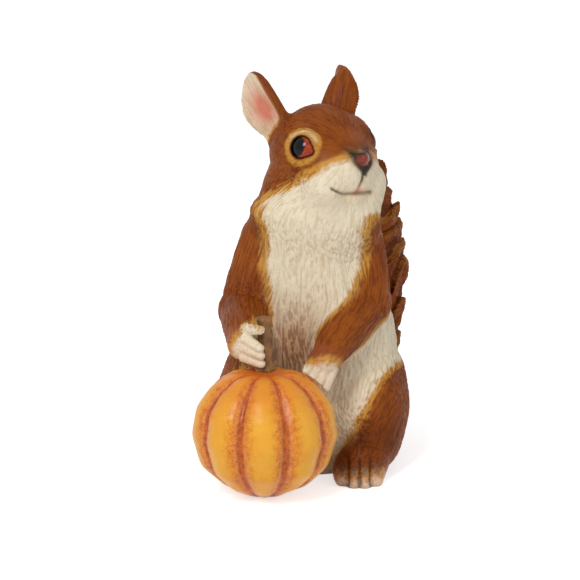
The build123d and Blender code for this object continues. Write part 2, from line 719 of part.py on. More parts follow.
with BuildPart() as right_haunch:
    loft(sections=haunch_sections(-1, 0))
    split(bisect_by=Plane.XY, keep=Keep.TOP)
    add([body_seat.part, pumpkin_seat.part], mode=Mode.SUBTRACT)
    with Locations(Plane((-hip_half_width, -haunch_ahead, hip_height), z_dir=(-1, 0, 0))):
        with Locations((0, 0, SPIGOT_GAP - LIMB_PEG_DEPTH)):
            Cylinder(
                LIMB_PEG_RADIUS,
                LIMB_PEG_DEPTH + LIMB_PEG_ROOT,
                align=(Align.CENTER, Align.CENTER, Align.MIN),
            )
    with Locations(Plane((-foot_peg_spread, -foot_peg_ahead, FOOT_PEG_RISE), z_dir=(0, 1, 0))):
        Cylinder(FOOT_PEG_RADIUS + SPIGOT_GAP, 2 * FOOT_PEG_DEPTH, mode=Mode.SUBTRACT)


def foot_sections(side, setback):
    """Ovals from the toe line back to the heel."""
    sections = []
    for way, width, height in FOOT_SHARES:
        place = (
            side * foot_spread,
            setback - foot_reach + TOE_LENGTH / 4 + way * FOOT_LENGTH,
            height * FOOT_HEIGHT * FOOT_SINK_SHARE,
        )
        plane = Plane(place, x_dir=(1, 0, 0), z_dir=(0, -1, 0))
        sections.append(oval(plane, width * FOOT_WIDTH / 2, height * FOOT_HEIGHT * (1 - FOOT_SINK_SHARE)))
    return sections


def toe_roots(side, setback):
    """Planes at the roots of the toes of a foot that look forward along them."""
    planes = []
    for spread, reach in zip(TOE_SHARES, TOE_REACH_SHARES):
        place = (
            side * (foot_spread - spread * FOOT_WIDTH / 2),
            setback - foot_reach + TOE_LENGTH * (1 - reach / 2),
            TOE_RADIUS * TOE_SINK_SHARE,
        )
        planes.append(Plane(place, x_dir=(1, 0, 0), z_dir=(0, -1, 0)))
    return planes


# Hind feet: a flat-soled foot with four toes
with BuildPart() as left_foot:
    loft(sections=foot_sections(1, 0))
    left_toes = toe_roots(1, 0)
    with Locations(*left_toes):
        Cylinder(TOE_RADIUS, TOE_LENGTH, align=(Align.CENTER, Align.CENTER, Align.MIN))
    with Locations(*[shifted(toe, 0, 0, TOE_LENGTH) for toe in left_toes]):
        Sphere(TOE_RADIUS)
    split(bisect_by=Plane.XY, keep=Keep.TOP)
    add([body_seat.part, left_haunch_seat.part], mode=Mode.SUBTRACT)
    with Locations(Plane((foot_peg_spread, -foot_peg_ahead, FOOT_PEG_RISE), z_dir=(0, 1, 0))):
        Cylinder(FOOT_PEG_RADIUS, 2 * (FOOT_PEG_DEPTH - SPIGOT_GAP))

with BuildPart() as right_foot:
    loft(sections=foot_sections(-1, RIGHT_FOOT_SETBACK))
    right_toes = toe_roots(-1, RIGHT_FOOT_SETBACK)
    with Locations(*right_toes):
        Cylinder(TOE_RADIUS, TOE_LENGTH, align=(Align.CENTER, Align.CENTER, Align.MIN))
    with Locations(*[shifted(toe, 0, 0, TOE_LENGTH) for toe in right_toes]):
        Sphere(TOE_RADIUS)
    split(bisect_by=Plane.XY, keep=Keep.TOP)
    add([body_seat.part, right_haunch_seat.part, pumpkin_seat.part], mode=Mode.SUBTRACT)
    with Locations(Plane((-foot_peg_spread, -foot_peg_ahead, FOOT_PEG_RISE), z_dir=(0, 1, 0))):
        Cylinder(FOOT_PEG_RADIUS, 2 * (FOOT_PEG_DEPTH - SPIGOT_GAP))

def tail_row(height):
    """Back set, half width and half thickness of the tail at a share of its height."""
    for low, high in zip(TAIL_SHARES, TAIL_SHARES[1:]):
        if low[0] <= height <= high[0]:
            way = (height - low[0]) / (high[0] - low[0])
            return [blend(start, end, way) for start, end in zip(low[1:], high[1:])]
    return TAIL_SHARES[-1][1:]


def lock_planes():
    """Planes at the roots of the locks, which look outward and up along them."""
    splay = math.radians(LOCK_SPLAY)
    planes = []
    for side in (-1, 1):
        for height, share in EDGE_LOCK_SHARES:
            root = Vector(
                TAIL_SIDE + side * share * TAIL_WIDTH / 2,
                tail_row(height)[0] * tail_back,
                TAIL_FOOT + height * TAIL_HEIGHT,
            )
            planes.append(facing(root, (side * math.sin(splay), 0, math.cos(splay))))
        for height, share, lean in BACK_LOCK_SHARES:
            back, width, thick = tail_row(height)
            proud = thick * TAIL_THICKNESS / 2 * math.sqrt(1 - (share / width) ** 2) - LOCK_SINK
            root = Vector(
                TAIL_SIDE + side * share * TAIL_WIDTH / 2,
                back * tail_back + proud,
                TAIL_FOOT + height * TAIL_HEIGHT,
            )
            planes.append(facing(root, (side * math.sin(splay), -lean, math.cos(splay))))
    return planes


# One lock of the tail with a blunt tip
with BuildPart() as lock:
    Cone(LOCK_ROOT_RADIUS, LOCK_TIP_RADIUS, LOCK_LENGTH, align=(Align.CENTER, Align.CENTER, Align.MIN))
    with Locations((0, 0, LOCK_LENGTH)):
        Sphere(LOCK_TIP_RADIUS)

# Tail: a broad brush along the back with locks down its edges and over its back
with BuildPart() as tail:
    tail_ovals = []
    for height, back, width, thick in TAIL_SHARES:
        tail_level = Plane((TAIL_SIDE, back * tail_back, TAIL_FOOT + height * TAIL_HEIGHT))
        tail_ovals.append(oval(tail_level, width * TAIL_WIDTH / 2, thick * TAIL_THICKNESS / 2))
    loft(sections=tail_ovals)
    with Locations(*lock_planes()):
        add(lock.part)
    add([body_seat.part, left_haunch_seat.part, right_haunch_seat.part], mode=Mode.SUBTRACT)
    with Locations(Plane((TAIL_SIDE, back_reach, tail_peg_height), z_dir=(0, 1, 0))):
        with Locations((0, 0, SPIGOT_GAP - TAIL_PEG_DEPTH)):
            Cylinder(
                TAIL_PEG_RADIUS,
                TAIL_PEG_DEPTH + TAIL_PEG_ROOT,
                align=(Align.CENTER, Align.CENTER, Align.MIN),
            )

# Pumpkin: hollow ribbed shell with a pour hole below and a stem socket on top
with BuildPart() as pumpkin:
    lobes = []
    for height, radius in PUMPKIN_SHARES:
        lobe_level = Plane((pumpkin_centre.X, pumpkin_centre.Y, height * PUMPKIN_HEIGHT))
        reach = radius * PUMPKIN_RADIUS
        lobes.append(lobed(lobe_level, reach, radius * GROOVE_DEPTH, PUMPKIN_LOBES, PUMPKIN_TURN))
    loft(sections=lobes)
    hollows = []
    for height, radius in PUMPKIN_SHARES:
        level = PUMPKIN_WALL + height * (PUMPKIN_HEIGHT - 2 * PUMPKIN_WALL)
        reach = radius * (PUMPKIN_RADIUS - GROOVE_DEPTH - PUMPKIN_WALL)
        hollows.append(oval(Plane((pumpkin_centre.X, pumpkin_centre.Y, level)), reach, reach))
    loft(sections=hollows, mode=Mode.SUBTRACT)
    with Locations((pumpkin_centre.X, pumpkin_centre.Y, 0)):
        Cylinder(PUMPKIN_HOLE_RADIUS, 3 * PUMPKIN_WALL, mode=Mode.SUBTRACT)
    with Locations(stem_foot):
        Cylinder(STEM_PEG_RADIUS + SPIGOT_GAP, 2 * STEM_PEG_LENGTH, mode=Mode.SUBTRACT)
    add(body_seat.part, mode=Mode.SUBTRACT)

# Stopper of the pour hole under the pumpkin
with BuildPart() as pumpkin_plug:
    with Locations((pumpkin_centre.X, pumpkin_centre.Y, PLUG_RECESS)):
        Cylinder(
            PUMPKIN_HOLE_RADIUS - SPIGOT_GAP,
            PUMPKIN_WALL - PLUG_RECESS,
            align=(Align.CENTER, Align.CENTER, Align.MIN),
        )
    chamfer(pumpkin_plug.edges().sort_by(Axis.Z)[0], PLUG_BEVEL)

# Stem: ribbed stalk on a peg
with BuildPart() as pumpkin_stem:
    loft(sections=stem_sections(0))
    with Locations(stem_foot):
        Cylinder(STEM_PEG_RADIUS, 2 * (STEM_PEG_LENGTH - SPIGOT_GAP))

pieces = {
    "body": body,
    "body_plug": body_plug,
    "head": head,
    "left_eye": left_eye,
    "right_eye": right_eye,
    "left_ear": left_ear,
    "right_ear": right_ear,
    "left_arm": left_arm,
    "right_arm": right_arm,
    "left_haunch": left_haunch,
    "right_haunch": right_haunch,
    "left_foot": left_foot,
    "right_foot": right_foot,
    "tail": tail,
    "pumpkin": pumpkin,
    "pumpkin_plug": pumpkin_plug,
    "pumpkin_stem": pumpkin_stem,
}
for name, piece in pieces.items():
    piece.part.label = name
    export_step(piece.part, f"parts/{name}.step")
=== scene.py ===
"""Looks of a painted resin squirrel figurine that holds a pumpkin.

Lengths are millimetres until a mesh is made. The squirrel faces -Y, +Z is up
and its own left side is +X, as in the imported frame.
"""

import logging
import math
from dataclasses import dataclass, field
from enum import Enum

import bpy
import numpy as np
import openvdb
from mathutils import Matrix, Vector


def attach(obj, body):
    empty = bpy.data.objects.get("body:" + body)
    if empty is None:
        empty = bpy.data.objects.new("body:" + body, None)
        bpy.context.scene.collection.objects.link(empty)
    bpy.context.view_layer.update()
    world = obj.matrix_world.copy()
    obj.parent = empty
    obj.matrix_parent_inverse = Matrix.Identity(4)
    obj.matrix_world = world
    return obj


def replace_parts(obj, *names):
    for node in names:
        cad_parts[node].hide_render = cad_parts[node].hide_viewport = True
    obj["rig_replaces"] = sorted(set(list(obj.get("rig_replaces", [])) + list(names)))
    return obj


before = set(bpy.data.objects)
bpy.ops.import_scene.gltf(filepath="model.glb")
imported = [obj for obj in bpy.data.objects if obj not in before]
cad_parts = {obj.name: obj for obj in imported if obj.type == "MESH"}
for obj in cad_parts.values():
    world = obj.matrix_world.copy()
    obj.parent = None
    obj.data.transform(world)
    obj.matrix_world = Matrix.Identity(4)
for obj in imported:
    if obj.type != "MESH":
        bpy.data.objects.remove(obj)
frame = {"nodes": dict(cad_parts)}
LOG = logging.getLogger("squirrel")
Array = np.ndarray
Colour = tuple[float, float, float]
Place = tuple[float, float, float]
Span = tuple[float, float]
MILLI = 0.001
HOLLOW_REACH = 2.0
HOLLOW_DEPTHS = (0.05, 0.4)
COLOUR_SOCKET = "NodeSocketColor"
VALUE_SOCKET = "NodeSocketFloat"


class Slot(Enum):
    """Names of material slots."""

    FUR = "fur_paint"
    EYE = "eye_gloss"
    PUMPKIN = "pumpkin_paint"
    STEM = "stem_paint"
    PLUG = "plug_rubber"


class Part(Enum):
    """Parts that a large casting is meshed in."""

    WHOLE = "fur"
    FRONT = "front_fur"
    BACK = "back_fur"


def linear(red: int, green: int, blue: int) -> Colour:
    """Linear colour of a display colour."""
    shares = [channel / 255 for channel in (red, green, blue)]
    return tuple(s / 12.92 if s < 0.04045 else ((s + 0.055) / 1.055) ** 2.4 for s in shares)


def smooth(low: float, high: float, value: Array) -> Array:
    """Soft step from 0 at low to 1 at high."""
    share = np.clip((value - low) / (high - low), 0, 1)
    return share * share * (3 - 2 * share)


def bell(distance: Array, width: float) -> Array:
    """Bell curve that is 1 at no distance."""
    return np.exp(-((distance / width) ** 2))


def unit(vectors: Array) -> Array:
    """Vectors of length one."""
    return vectors / np.maximum(np.linalg.norm(vectors, axis=-1, keepdims=True), 1e-9)


def smooth_union(first: Array, second: Array, reach: float) -> Array:
    """Union of two distance fields with a fillet between them."""
    near = np.maximum(reach - np.abs(first - second), 0) / reach
    return np.minimum(first, second) - near * near * reach / 4


def to_segment(points: Array, start: Array, end: Array) -> tuple[Array, Array]:
    """Distance of points from a straight segment.

    Args:
        points: Rows of points.
        start: One end.
        end: The other end.

    Returns:
        The distances and the share of the way along the segment.
    """
    way = end - start
    share = np.clip((points - start) @ way / (way @ way), 0, 1)
    return np.linalg.norm(points - start - share[..., None] * way, axis=-1), share


def gather(quads: Array, values: Array, count: int) -> Array:
    """Sum at each corner of the values of the quads round it.

    Args:
        quads: Quads of the mesh.
        values: Rows of values, one for each quad.
        count: Number of corners.

    Returns:
        Rows of sums, one for each corner.
    """
    corner = quads.ravel()
    columns = [np.bincount(corner, np.repeat(column, 4), count) for column in values.T]
    return np.stack(columns, axis=1)


def vertex_normals(corners: Array, quads: Array) -> Array:
    """Normals of a quad mesh at its corners.

    Args:
        corners: Corners of the mesh.
        quads: Quads of the mesh.

    Returns:
        Normals of length one.
    """
    first, second, third, fourth = (corners[quads[:, k]] for k in range(4))
    face = np.cross(third - first, fourth - second)
    return unit(gather(quads, face, len(corners)))


def hollows(corners: Array, quads: Array, normals: Array, pitch: float) -> Array:
    """How hollow a quad mesh is at its corners.

    Args:
        corners: Corners of the mesh.
        quads: Quads of the mesh.
        normals: Normals at the corners.
        pitch: Size of a facet.

    Returns:
        Values from 0 on flat and swelling places to 1 in creases.
    """
    count = np.bincount(quads.ravel(), minlength=len(corners))[:, None]
    even = corners
    for _ in range(int(round(HOLLOW_REACH / pitch))):
        even = gather(quads, even[quads].mean(axis=1), len(corners)) / count
    rise = np.einsum("ij,ij->i", even - corners, normals)
    return smooth(*HOLLOW_DEPTHS, rise)


def shell_faces(rings: int, spokes: int) -> list[list[int]]:
    """Faces of a closed shell of rings with a pole at each end.

    Args:
        rings: Number of rings.
        spokes: Points round a ring.

    Returns:
        Faces, for corners in rings with the two poles last.
    """
    pole = rings * spokes
    last = pole - spokes
    faces = []
    for k in range(spokes):
        following = (k + 1) % spokes
        faces.append([pole, following, k])
        faces.append([pole + 1, last + k, last + following])
        for base in range(0, last, spokes):
            above = base + spokes
            faces.append([base + k, base + following, above + following, above + k])
    return faces


def lathe(profile: Array, spokes: int) -> tuple[Array, list[list[int]]]:
    """Closed surface of a profile turned about the Z axis.

    Args:
        profile: Radius and height of each ring, from the foot up.
        spokes: Points round a ring.

    Returns:
        Corners in rings with the two poles last, and faces.
    """
    turn = np.linspace(0, 2 * math.pi, spokes, endpoint=False)
    around = np.stack([np.cos(turn), np.sin(turn)], axis=1)
    rings = [np.column_stack([radius * around, np.full(spokes, height)]) for radius, height in profile]
    corners = np.concatenate([*rings, [[0, 0, profile[0][1]], [0, 0, profile[-1][1]]]])
    return corners, shell_faces(len(profile), spokes)


@dataclass
class Lattice:
    """Regular lattice of points round a piece."""

    low: Array
    high: Array
    pitch: float

    def axes(self) -> list[Array]:
        """Coordinates of the lattice along each axis."""
        counts = np.ceil((self.high - self.low) / self.pitch).astype(int) + 1
        return [self.low[k] + self.pitch * np.arange(counts[k]) for k in range(3)]

    def points(self) -> Array:
        """All the points of the lattice, in lattice shape."""
        return np.stack(np.meshgrid(*self.axes(), indexing="ij"), axis=-1).astype(np.float32)

    def block(self, low: Array, high: Array) -> tuple[slice, ...]:
        """Part of the lattice that lies in a box."""
        limits = zip(self.axes(), low, high)
        return tuple(slice(*np.searchsorted(line, (start, end))) for line, start, end in limits)


class NodeField:
    """Signed distance to one node of the frame."""

    BAND = 12.6
    EDGE = 1.001

    def __init__(self, node: bpy.types.Object, pitch: float) -> None:
        """Measures the distances near a node.

        Args:
            node: Node of the frame.
            pitch: Step between the measured points.
        """
        self.pitch = pitch
        mesh = node.data
        corners = np.empty(len(mesh.vertices) * 3, np.float32)
        mesh.vertices.foreach_get("co", corners)
        corners = corners.reshape(-1, 3) / MILLI
        mesh.calc_loop_triangles()
        triangles = np.empty(len(mesh.loop_triangles) * 3, np.int32)
        mesh.loop_triangles.foreach_get("vertices", triangles)
        grid = openvdb.FloatGrid.createLevelSetFromPolygons(
            corners,
            triangles=triangles.reshape(-1, 3).astype(np.uint32),
            transform=openvdb.createLinearTransform(voxelSize=self.pitch),
            halfWidth=self.BAND / self.pitch,
        )
        first = np.floor((corners.min(0) - self.BAND) / self.pitch).astype(int)
        last = np.ceil((corners.max(0) + self.BAND) / self.pitch).astype(int)
        self.values = np.empty(last - first + 1, np.float32)
        grid.copyToArray(self.values, ijk=tuple(int(k) for k in first))
        self.low = first * self.pitch
        self.box = (corners.min(0), corners.max(0))

    def soften(self, reach: float) -> None:
        """Evens out bumps that are smaller than a reach.

        Args:
            reach: How far up and down the distances are averaged.
        """
        steps = int(round(reach / self.pitch))
        near = np.mean([np.roll(self.values, k, axis=2) for k in range(-steps, steps + 1)], axis=0)
        self.values = np.mean([np.roll(near, k, axis=0) for k in (-2, -1, 0, 1, 2)], axis=0)

    def on(self, lattice: Lattice) -> Array:
        """Distances on a lattice.

        Args:
            lattice: Lattice to fill.

        Returns:
            The distances, or the width of the band where it is further.
        """
        cells = []
        shares = []
        inside = []
        for axis, line in enumerate(lattice.axes()):
            place = (line - self.low[axis]) / self.pitch
            top = self.values.shape[axis] - self.EDGE
            inside.append((place >= 0) & (place <= top))
            place = np.clip(place, 0, top)
            cells.append(np.floor(place).astype(int))
            shares.append((place - cells[-1]).astype(np.float32))
        found = self.values
        for axis in range(3):
            shape = [1, 1, 1]
            shape[axis] = -1
            low = np.take(found, cells[axis], axis=axis)
            high = np.take(found, cells[axis] + 1, axis=axis)
            found = low + (high - low) * shares[axis].reshape(shape)
        near = inside[0][:, None, None] & inside[1][None, :, None] & inside[2][None, None, :]
        return np.where(near, found, np.float32(self.BAND))

    def at(self, points: Array) -> Array:
        """Distances at scattered points.

        Args:
            points: Rows of points.

        Returns:
            The distances.
        """
        place = (points - self.low) / self.pitch
        top = np.array(self.values.shape) - self.EDGE
        near = np.all((place >= 0) & (place <= top), axis=1)
        place = np.clip(place, 0, top)
        cell = np.floor(place).astype(int)
        share = place - cell
        total = np.zeros(len(points))
        for corner in np.ndindex(2, 2, 2):
            weight = np.prod(np.where(corner, share, 1 - share), axis=1)
            x, y, z = (cell + corner).T
            total += weight * self.values[x, y, z]
        return np.where(near, total, self.BAND)


class Grain:
    """Seeded noise in space that can be drawn out along a direction."""

    SIZE = 64
    PROBES = 4000
    PROBE_WAY = (0.36, 0.48, 0.8)

    def __init__(self, seed: int, width: float, length: float, taps: int) -> None:
        """Fills the table.

        Args:
            seed: Seed of the table.
            width: Width of one grain.
            length: Length of the streak that grains are drawn out to.
            taps: Samples along a streak.
        """
        self.table = np.random.default_rng(seed).random((self.SIZE,) * 3).astype(np.float32)
        self.width = width
        self.offsets = np.linspace(-length / 2, length / 2, taps)
        probe = np.random.default_rng(seed + 1).random((self.PROBES, 3)) * self.SIZE * width
        drawn = self._mean(probe, np.tile(np.array(self.PROBE_WAY), (self.PROBES, 1)))
        self.middle = float(drawn.mean())
        self.spread = float(drawn.std())

    def _plain(self, place: Array) -> Array:
        """Noise at points in units of the grain.

        Args:
            place: Points, one per row.

        Returns:
            Values from 0 to 1.
        """
        cell = np.floor(place).astype(np.int32)
        share = (place - cell).astype(np.float32)
        share = share * share * (3 - 2 * share)
        low, high = (cell % self.SIZE).T, ((cell + 1) % self.SIZE).T
        found = []
        for x in (low[0], high[0]):
            near = self.table[x, low[1], low[2]], self.table[x, low[1], high[2]]
            far = self.table[x, high[1], low[2]], self.table[x, high[1], high[2]]
            near, far = (pair[0] + (pair[1] - pair[0]) * share[:, 2] for pair in (near, far))
            found.append(near + (far - near) * share[:, 1])
        return found[0] + (found[1] - found[0]) * share[:, 0]

    def _mean(self, points: Array, direction: Array) -> Array:
        """Mean of the noise along streaks.

        Args:
            points: Middles of the streaks.
            direction: Direction of each streak.

        Returns:
            The means.
        """
        total = np.zeros(len(points))
        for offset in self.offsets:
            total += self._plain((points + direction * offset) / self.width)
        return total / len(self.offsets)

    def streaks(self, points: Array, direction: Array) -> Array:
        """Streaked noise with middle 0 and spread 1."""
        return (self._mean(points, direction) - self.middle) / self.spread


@dataclass(frozen=True)
class HeadFrame:
    """Axes of the turned head."""

    centre: Place = (4.5, -7.0, 138.0)
    yaw: float = 35.0
    reach: float = 36.0

    @property
    def ahead(self) -> Array:
        """Direction the head looks in."""
        turn = math.radians(self.yaw)
        return np.array([math.sin(turn), -math.cos(turn), 0.0])

    @property
    def left(self) -> Array:
        """Direction to the head's own left."""
        turn = math.radians(self.yaw)
        return np.array([math.cos(turn), math.sin(turn), 0.0])

    def local(self, points: Array) -> tuple[Array, Array, Array]:
        """Way ahead, to the left and up from the middle of the head."""
        away = points - np.array(self.centre)
        return away @ self.ahead, away @ self.left, away[..., 2]

    def place(self, ahead: float, left: float, up: float) -> Array:
        """Point of the figure from its place in the head."""
        return np.array(self.centre) + ahead * self.ahead + left * self.left + np.array([0, 0, up])


HEAD = HeadFrame()


@dataclass(frozen=True)
class EyeSeat:
    """Place and aperture of one eye."""

    side: int
    ahead: float = 10.0
    spread: float = 18.0
    rise: float = 5.5
    out_turn: float = 24.0
    up_tilt: float = 14.0
    ball: float = 7.0
    sunk: float = 4.5
    lid: float = 0.75
    aperture: float = 4.95
    corner: float = 1.5
    corner_lift: float = 0.25
    corner_width: float = 0.42
    lid_fillet: float = 2.0
    socket: float = 3.4
    bed: float = 0.5

    @property
    def centre(self) -> Array:
        """Middle of the eye on the side of the head."""
        return HEAD.place(self.ahead, self.side * self.spread, self.rise)

    @property
    def axes(self) -> tuple[Array, Array, Array]:
        """Direction to the nose side, up and out of the eye."""
        tilt, turn = math.radians(self.up_tilt), math.radians(self.out_turn)
        level = math.cos(tilt)
        out = HEAD.left * (self.side * level * math.cos(turn)) + HEAD.ahead * (level * math.sin(turn))
        out = out + np.array([0, 0, math.sin(tilt)])
        nose = HEAD.ahead - out * (HEAD.ahead @ out)
        nose = nose / np.linalg.norm(nose)
        up = np.cross(out, nose)
        return nose, up * np.sign(up[2]), out

    def local(self, points: Array) -> tuple[Array, Array, Array]:
        """Way to the nose side, up and out from the middle of the eye.

        Args:
            points: Points along the last axis.

        Returns:
            Three arrays.
        """
        away = points - self.centre
        nose, up, out = self.axes
        return away @ nose, away @ up, away @ out

    def rim(self, nose: Array, up: Array) -> Array:
        """Signed way outside the drop-shaped opening between the lids.

        Args:
            nose: Way to the nose side.
            up: Way up.

        Returns:
            The distances, negative in the opening.
        """
        angle = np.arctan2(up + self.corner_lift * nose, nose)
        reach = self.aperture + self.corner * bell(angle, self.corner_width)
        return np.hypot(nose, up) - reach

    @property
    def ball_centre(self) -> Array:
        """Middle of the eyeball."""
        return self.centre - self.axes[2] * self.sunk


RIGHT_EYE = EyeSeat(side=-1)
LEFT_EYE = EyeSeat(side=1)


@dataclass(frozen=True)
class EarSeat:
    """Root and axes of one ear."""

    side: int
    ahead: float = -11.4
    spread: float = 15.4
    rise: float = 11.8
    splay: float = 24.0
    sweep: float = 20.0
    turn: float = 12.0

    @property
    def root(self) -> Array:
        """Middle of the foot of the ear."""
        return HEAD.place(self.ahead, self.side * self.spread, self.rise)

    @property
    def axes(self) -> tuple[Array, Array, Array]:
        """Direction across the ear, up it and out of its cup."""
        up = np.array([0, 0, 1.0]) + HEAD.left * (self.side * math.tan(math.radians(self.splay)))
        up = up - HEAD.ahead * math.tan(math.radians(self.sweep))
        up = up / np.linalg.norm(up)
        turn = math.radians(self.turn)
        out = HEAD.left * (self.side * math.cos(turn)) + HEAD.ahead * math.sin(turn)
        out = out - up * (out @ up)
        out = out / np.linalg.norm(out)
        return np.cross(up, out), up, out

    def local(self, points: Array) -> tuple[Array, Array, Array]:
        """Way across, up and out from the root of the ear.

        Args:
            points: Points along the last axis.

        Returns:
            Three arrays.
        """
        away = points - self.root
        across, up, out = self.axes
        return away @ across, away @ up, away @ out


EARS = {"left_ear": EarSeat(side=1), "right_ear": EarSeat(side=-1)}


@dataclass(frozen=True)
class Limb:
    """Joints of one arm, and how far past the wrist its pale paint starts."""

    shoulder: Place
    elbow: Place
    wrist: Place
    finger_tip: Place
    palm: float
    bend: float = 5.0

    def to_hand(self, points: Array) -> Array:
        """Distance of points from the line of the hand."""
        return to_segment(points, np.array(self.wrist), np.array(self.finger_tip))[0]

    def along_hand(self, points: Array) -> Array:
        """How far points lie past the start of the pale paint, toward the finger tips."""
        wrist = np.array(self.wrist)
        return (points - wrist) @ unit(np.array(self.finger_tip) - wrist) + self.palm

    def fur_way(self, points: Array) -> Array:
        """Direction of the fur down the arm.

        Args:
            points: Rows of points.

        Returns:
            A direction at each point.
        """
        shoulder, elbow, wrist = (np.array(joint) for joint in (self.shoulder, self.elbow, self.wrist))
        upper, _ = to_segment(points, shoulder, elbow)
        lower, _ = to_segment(points, elbow, wrist)
        share = smooth(-self.bend, self.bend, upper - lower)[:, None]
        return unit(elbow - shoulder) * (1 - share) + unit(wrist - elbow) * share


LIMBS = {
    "left_arm": Limb(
        shoulder=(18.5, -6.0, 101.0),
        elbow=(22.8, -14.0, 74.0),
        wrist=(4.4, -46.6, 54.3),
        finger_tip=(6.5, -56.0, 45.0),
        palm=-3.5,
    ),
    "right_arm": Limb(
        shoulder=(-18.5, -6.0, 101.0),
        elbow=(-29.2, -15.0, 70.0),
        wrist=(-29.7, -56.0, 64.3),
        finger_tip=(-22.0, -60.0, 61.0),
        palm=1.0,
    ),
}


@dataclass(frozen=True)
class BodyCore:
    """Stack of ellipses that fills the hollow of the body."""

    levels: tuple[float, ...] = (0.0, 12.5, 33.0, 52.0, 65.0, 80.0, 97.0, 114.0)
    forward: tuple[float, ...] = (4.35, 4.0, 2.7, 2.0, 2.0, 2.7, 4.35, 5.5)
    half_widths: tuple[float, ...] = (25.0, 28.8, 33.2, 35.5, 33.6, 28.7, 25.0, 24.2)
    half_depths: tuple[float, ...] = (26.5, 30.0, 31.5, 30.5, 29.0, 25.8, 22.3, 19.1)
    foot: float = 2.0
    top: float = 112.0

    def distance(self, x: Array, y: Array, level: Array) -> Array:
        """Field that fills the hollow.

        Args:
            x: Places across the body.
            y: Places behind its middle.
            level: Heights.

        Returns:
            The field.
        """
        rows = (self.forward, self.half_widths, self.half_depths)
        forward, wide, deep = (np.interp(level, self.levels, row) for row in rows)
        ring = np.hypot(x / wide, (y + forward) / deep)
        side = (ring - 1) * np.minimum(wide, deep)
        return np.maximum(side, np.maximum(self.foot - level, level - self.top)).astype(np.float32)


@dataclass(frozen=True)
class TailTufts:
    """Overlapping tufts of the tail, which rise outward to sharp tips."""

    middle: float = 7.5
    spacing: float = 12.5
    slope: float = 0.55
    spine: float = 6.0
    depth: float = 2.9
    wander: float = 0.27
    foot: float = 12.0
    root_share: float = 0.1
    tip_share: float = 0.84
    tip_drop: float = 0.75
    warp: Grain = field(default_factory=lambda: Grain(89, 8.5, 0.0, 1))

    def way_up(self, points: Array) -> Array:
        """Share of the way from the root of a tuft to its tip.

        Args:
            points: Rows of points.

        Returns:
            Shares from 0 to 1.
        """
        aside = points[:, 0] - self.middle
        level = points[:, 2] - self.slope * np.hypot(aside, self.spine)
        level = level + smooth(-self.spine, self.spine, aside) * self.spacing / 2
        shift = self.warp.streaks(points, np.zeros_like(points)) * self.wander
        return (level / self.spacing + shift) % 1.0

    def height(self, points: Array) -> Array:
        """How far the tufts stand out.

        Args:
            points: Rows of points.

        Returns:
            Heights in millimetres.
        """
        share = self.way_up(points)
        tip = share - self.root_share - smooth(self.tip_share, 1.0, share) * self.tip_drop
        return self.depth * tip * smooth(self.foot, 2 * self.foot, points[:, 2])


@dataclass(frozen=True)
class Filler:
    """Soft swelling that closes the step between two castings."""

    centre: Place
    radii: Place
    reach: float

    def join(self, lattice: Lattice, points: Array, form: Array) -> None:
        """Joins the swelling to a field.

        Args:
            lattice: Lattice of the field.
            points: Points of the lattice.
            form: Field, which is changed.
        """
        centre, radii = np.array(self.centre), np.array(self.radii)
        block = lattice.block(centre - radii - self.reach, centre + radii + self.reach)
        away = np.linalg.norm((points[block] - centre) / radii, axis=-1) - 1
        form[block] = smooth_union(form[block], (away * radii.min()).astype(np.float32), self.reach)


@dataclass(frozen=True)
class Slack:
    """Soft dip where a casting is fuller than the figure, or with a negative depth a rise."""

    centre: Place
    reach: float
    depth: float

    def ease(self, lattice: Lattice, points: Array, form: Array) -> None:
        """Takes the dip out of a field.

        Args:
            lattice: Lattice of the field.
            points: Points of the lattice.
            form: Field, which is changed.
        """
        centre = np.array(self.centre)
        block = lattice.block(centre - 3 * self.reach, centre + 3 * self.reach)
        form[block] += self.depth * bell(np.linalg.norm(points[block] - centre, axis=-1), self.reach)


@dataclass(frozen=True)
class Swelling:
    """Soft rise of the face, the same on both sides, placed in the axes of the head."""

    ahead: float
    aside: float
    up: float
    spread: Place
    height: float

    def rise(self, ahead: Array, aside: Array, up: Array) -> Array:
        """Height of the rise.

        Args:
            ahead: Way ahead of the middle of the head.
            aside: Way to either side.
            up: Way up.

        Returns:
            Heights in millimetres.
        """
        long, wide, tall = self.spread
        away = ((ahead - self.ahead) / long) ** 2 + ((aside - self.aside) / wide) ** 2
        return self.height * np.exp(-(away + ((up - self.up) / tall) ** 2))


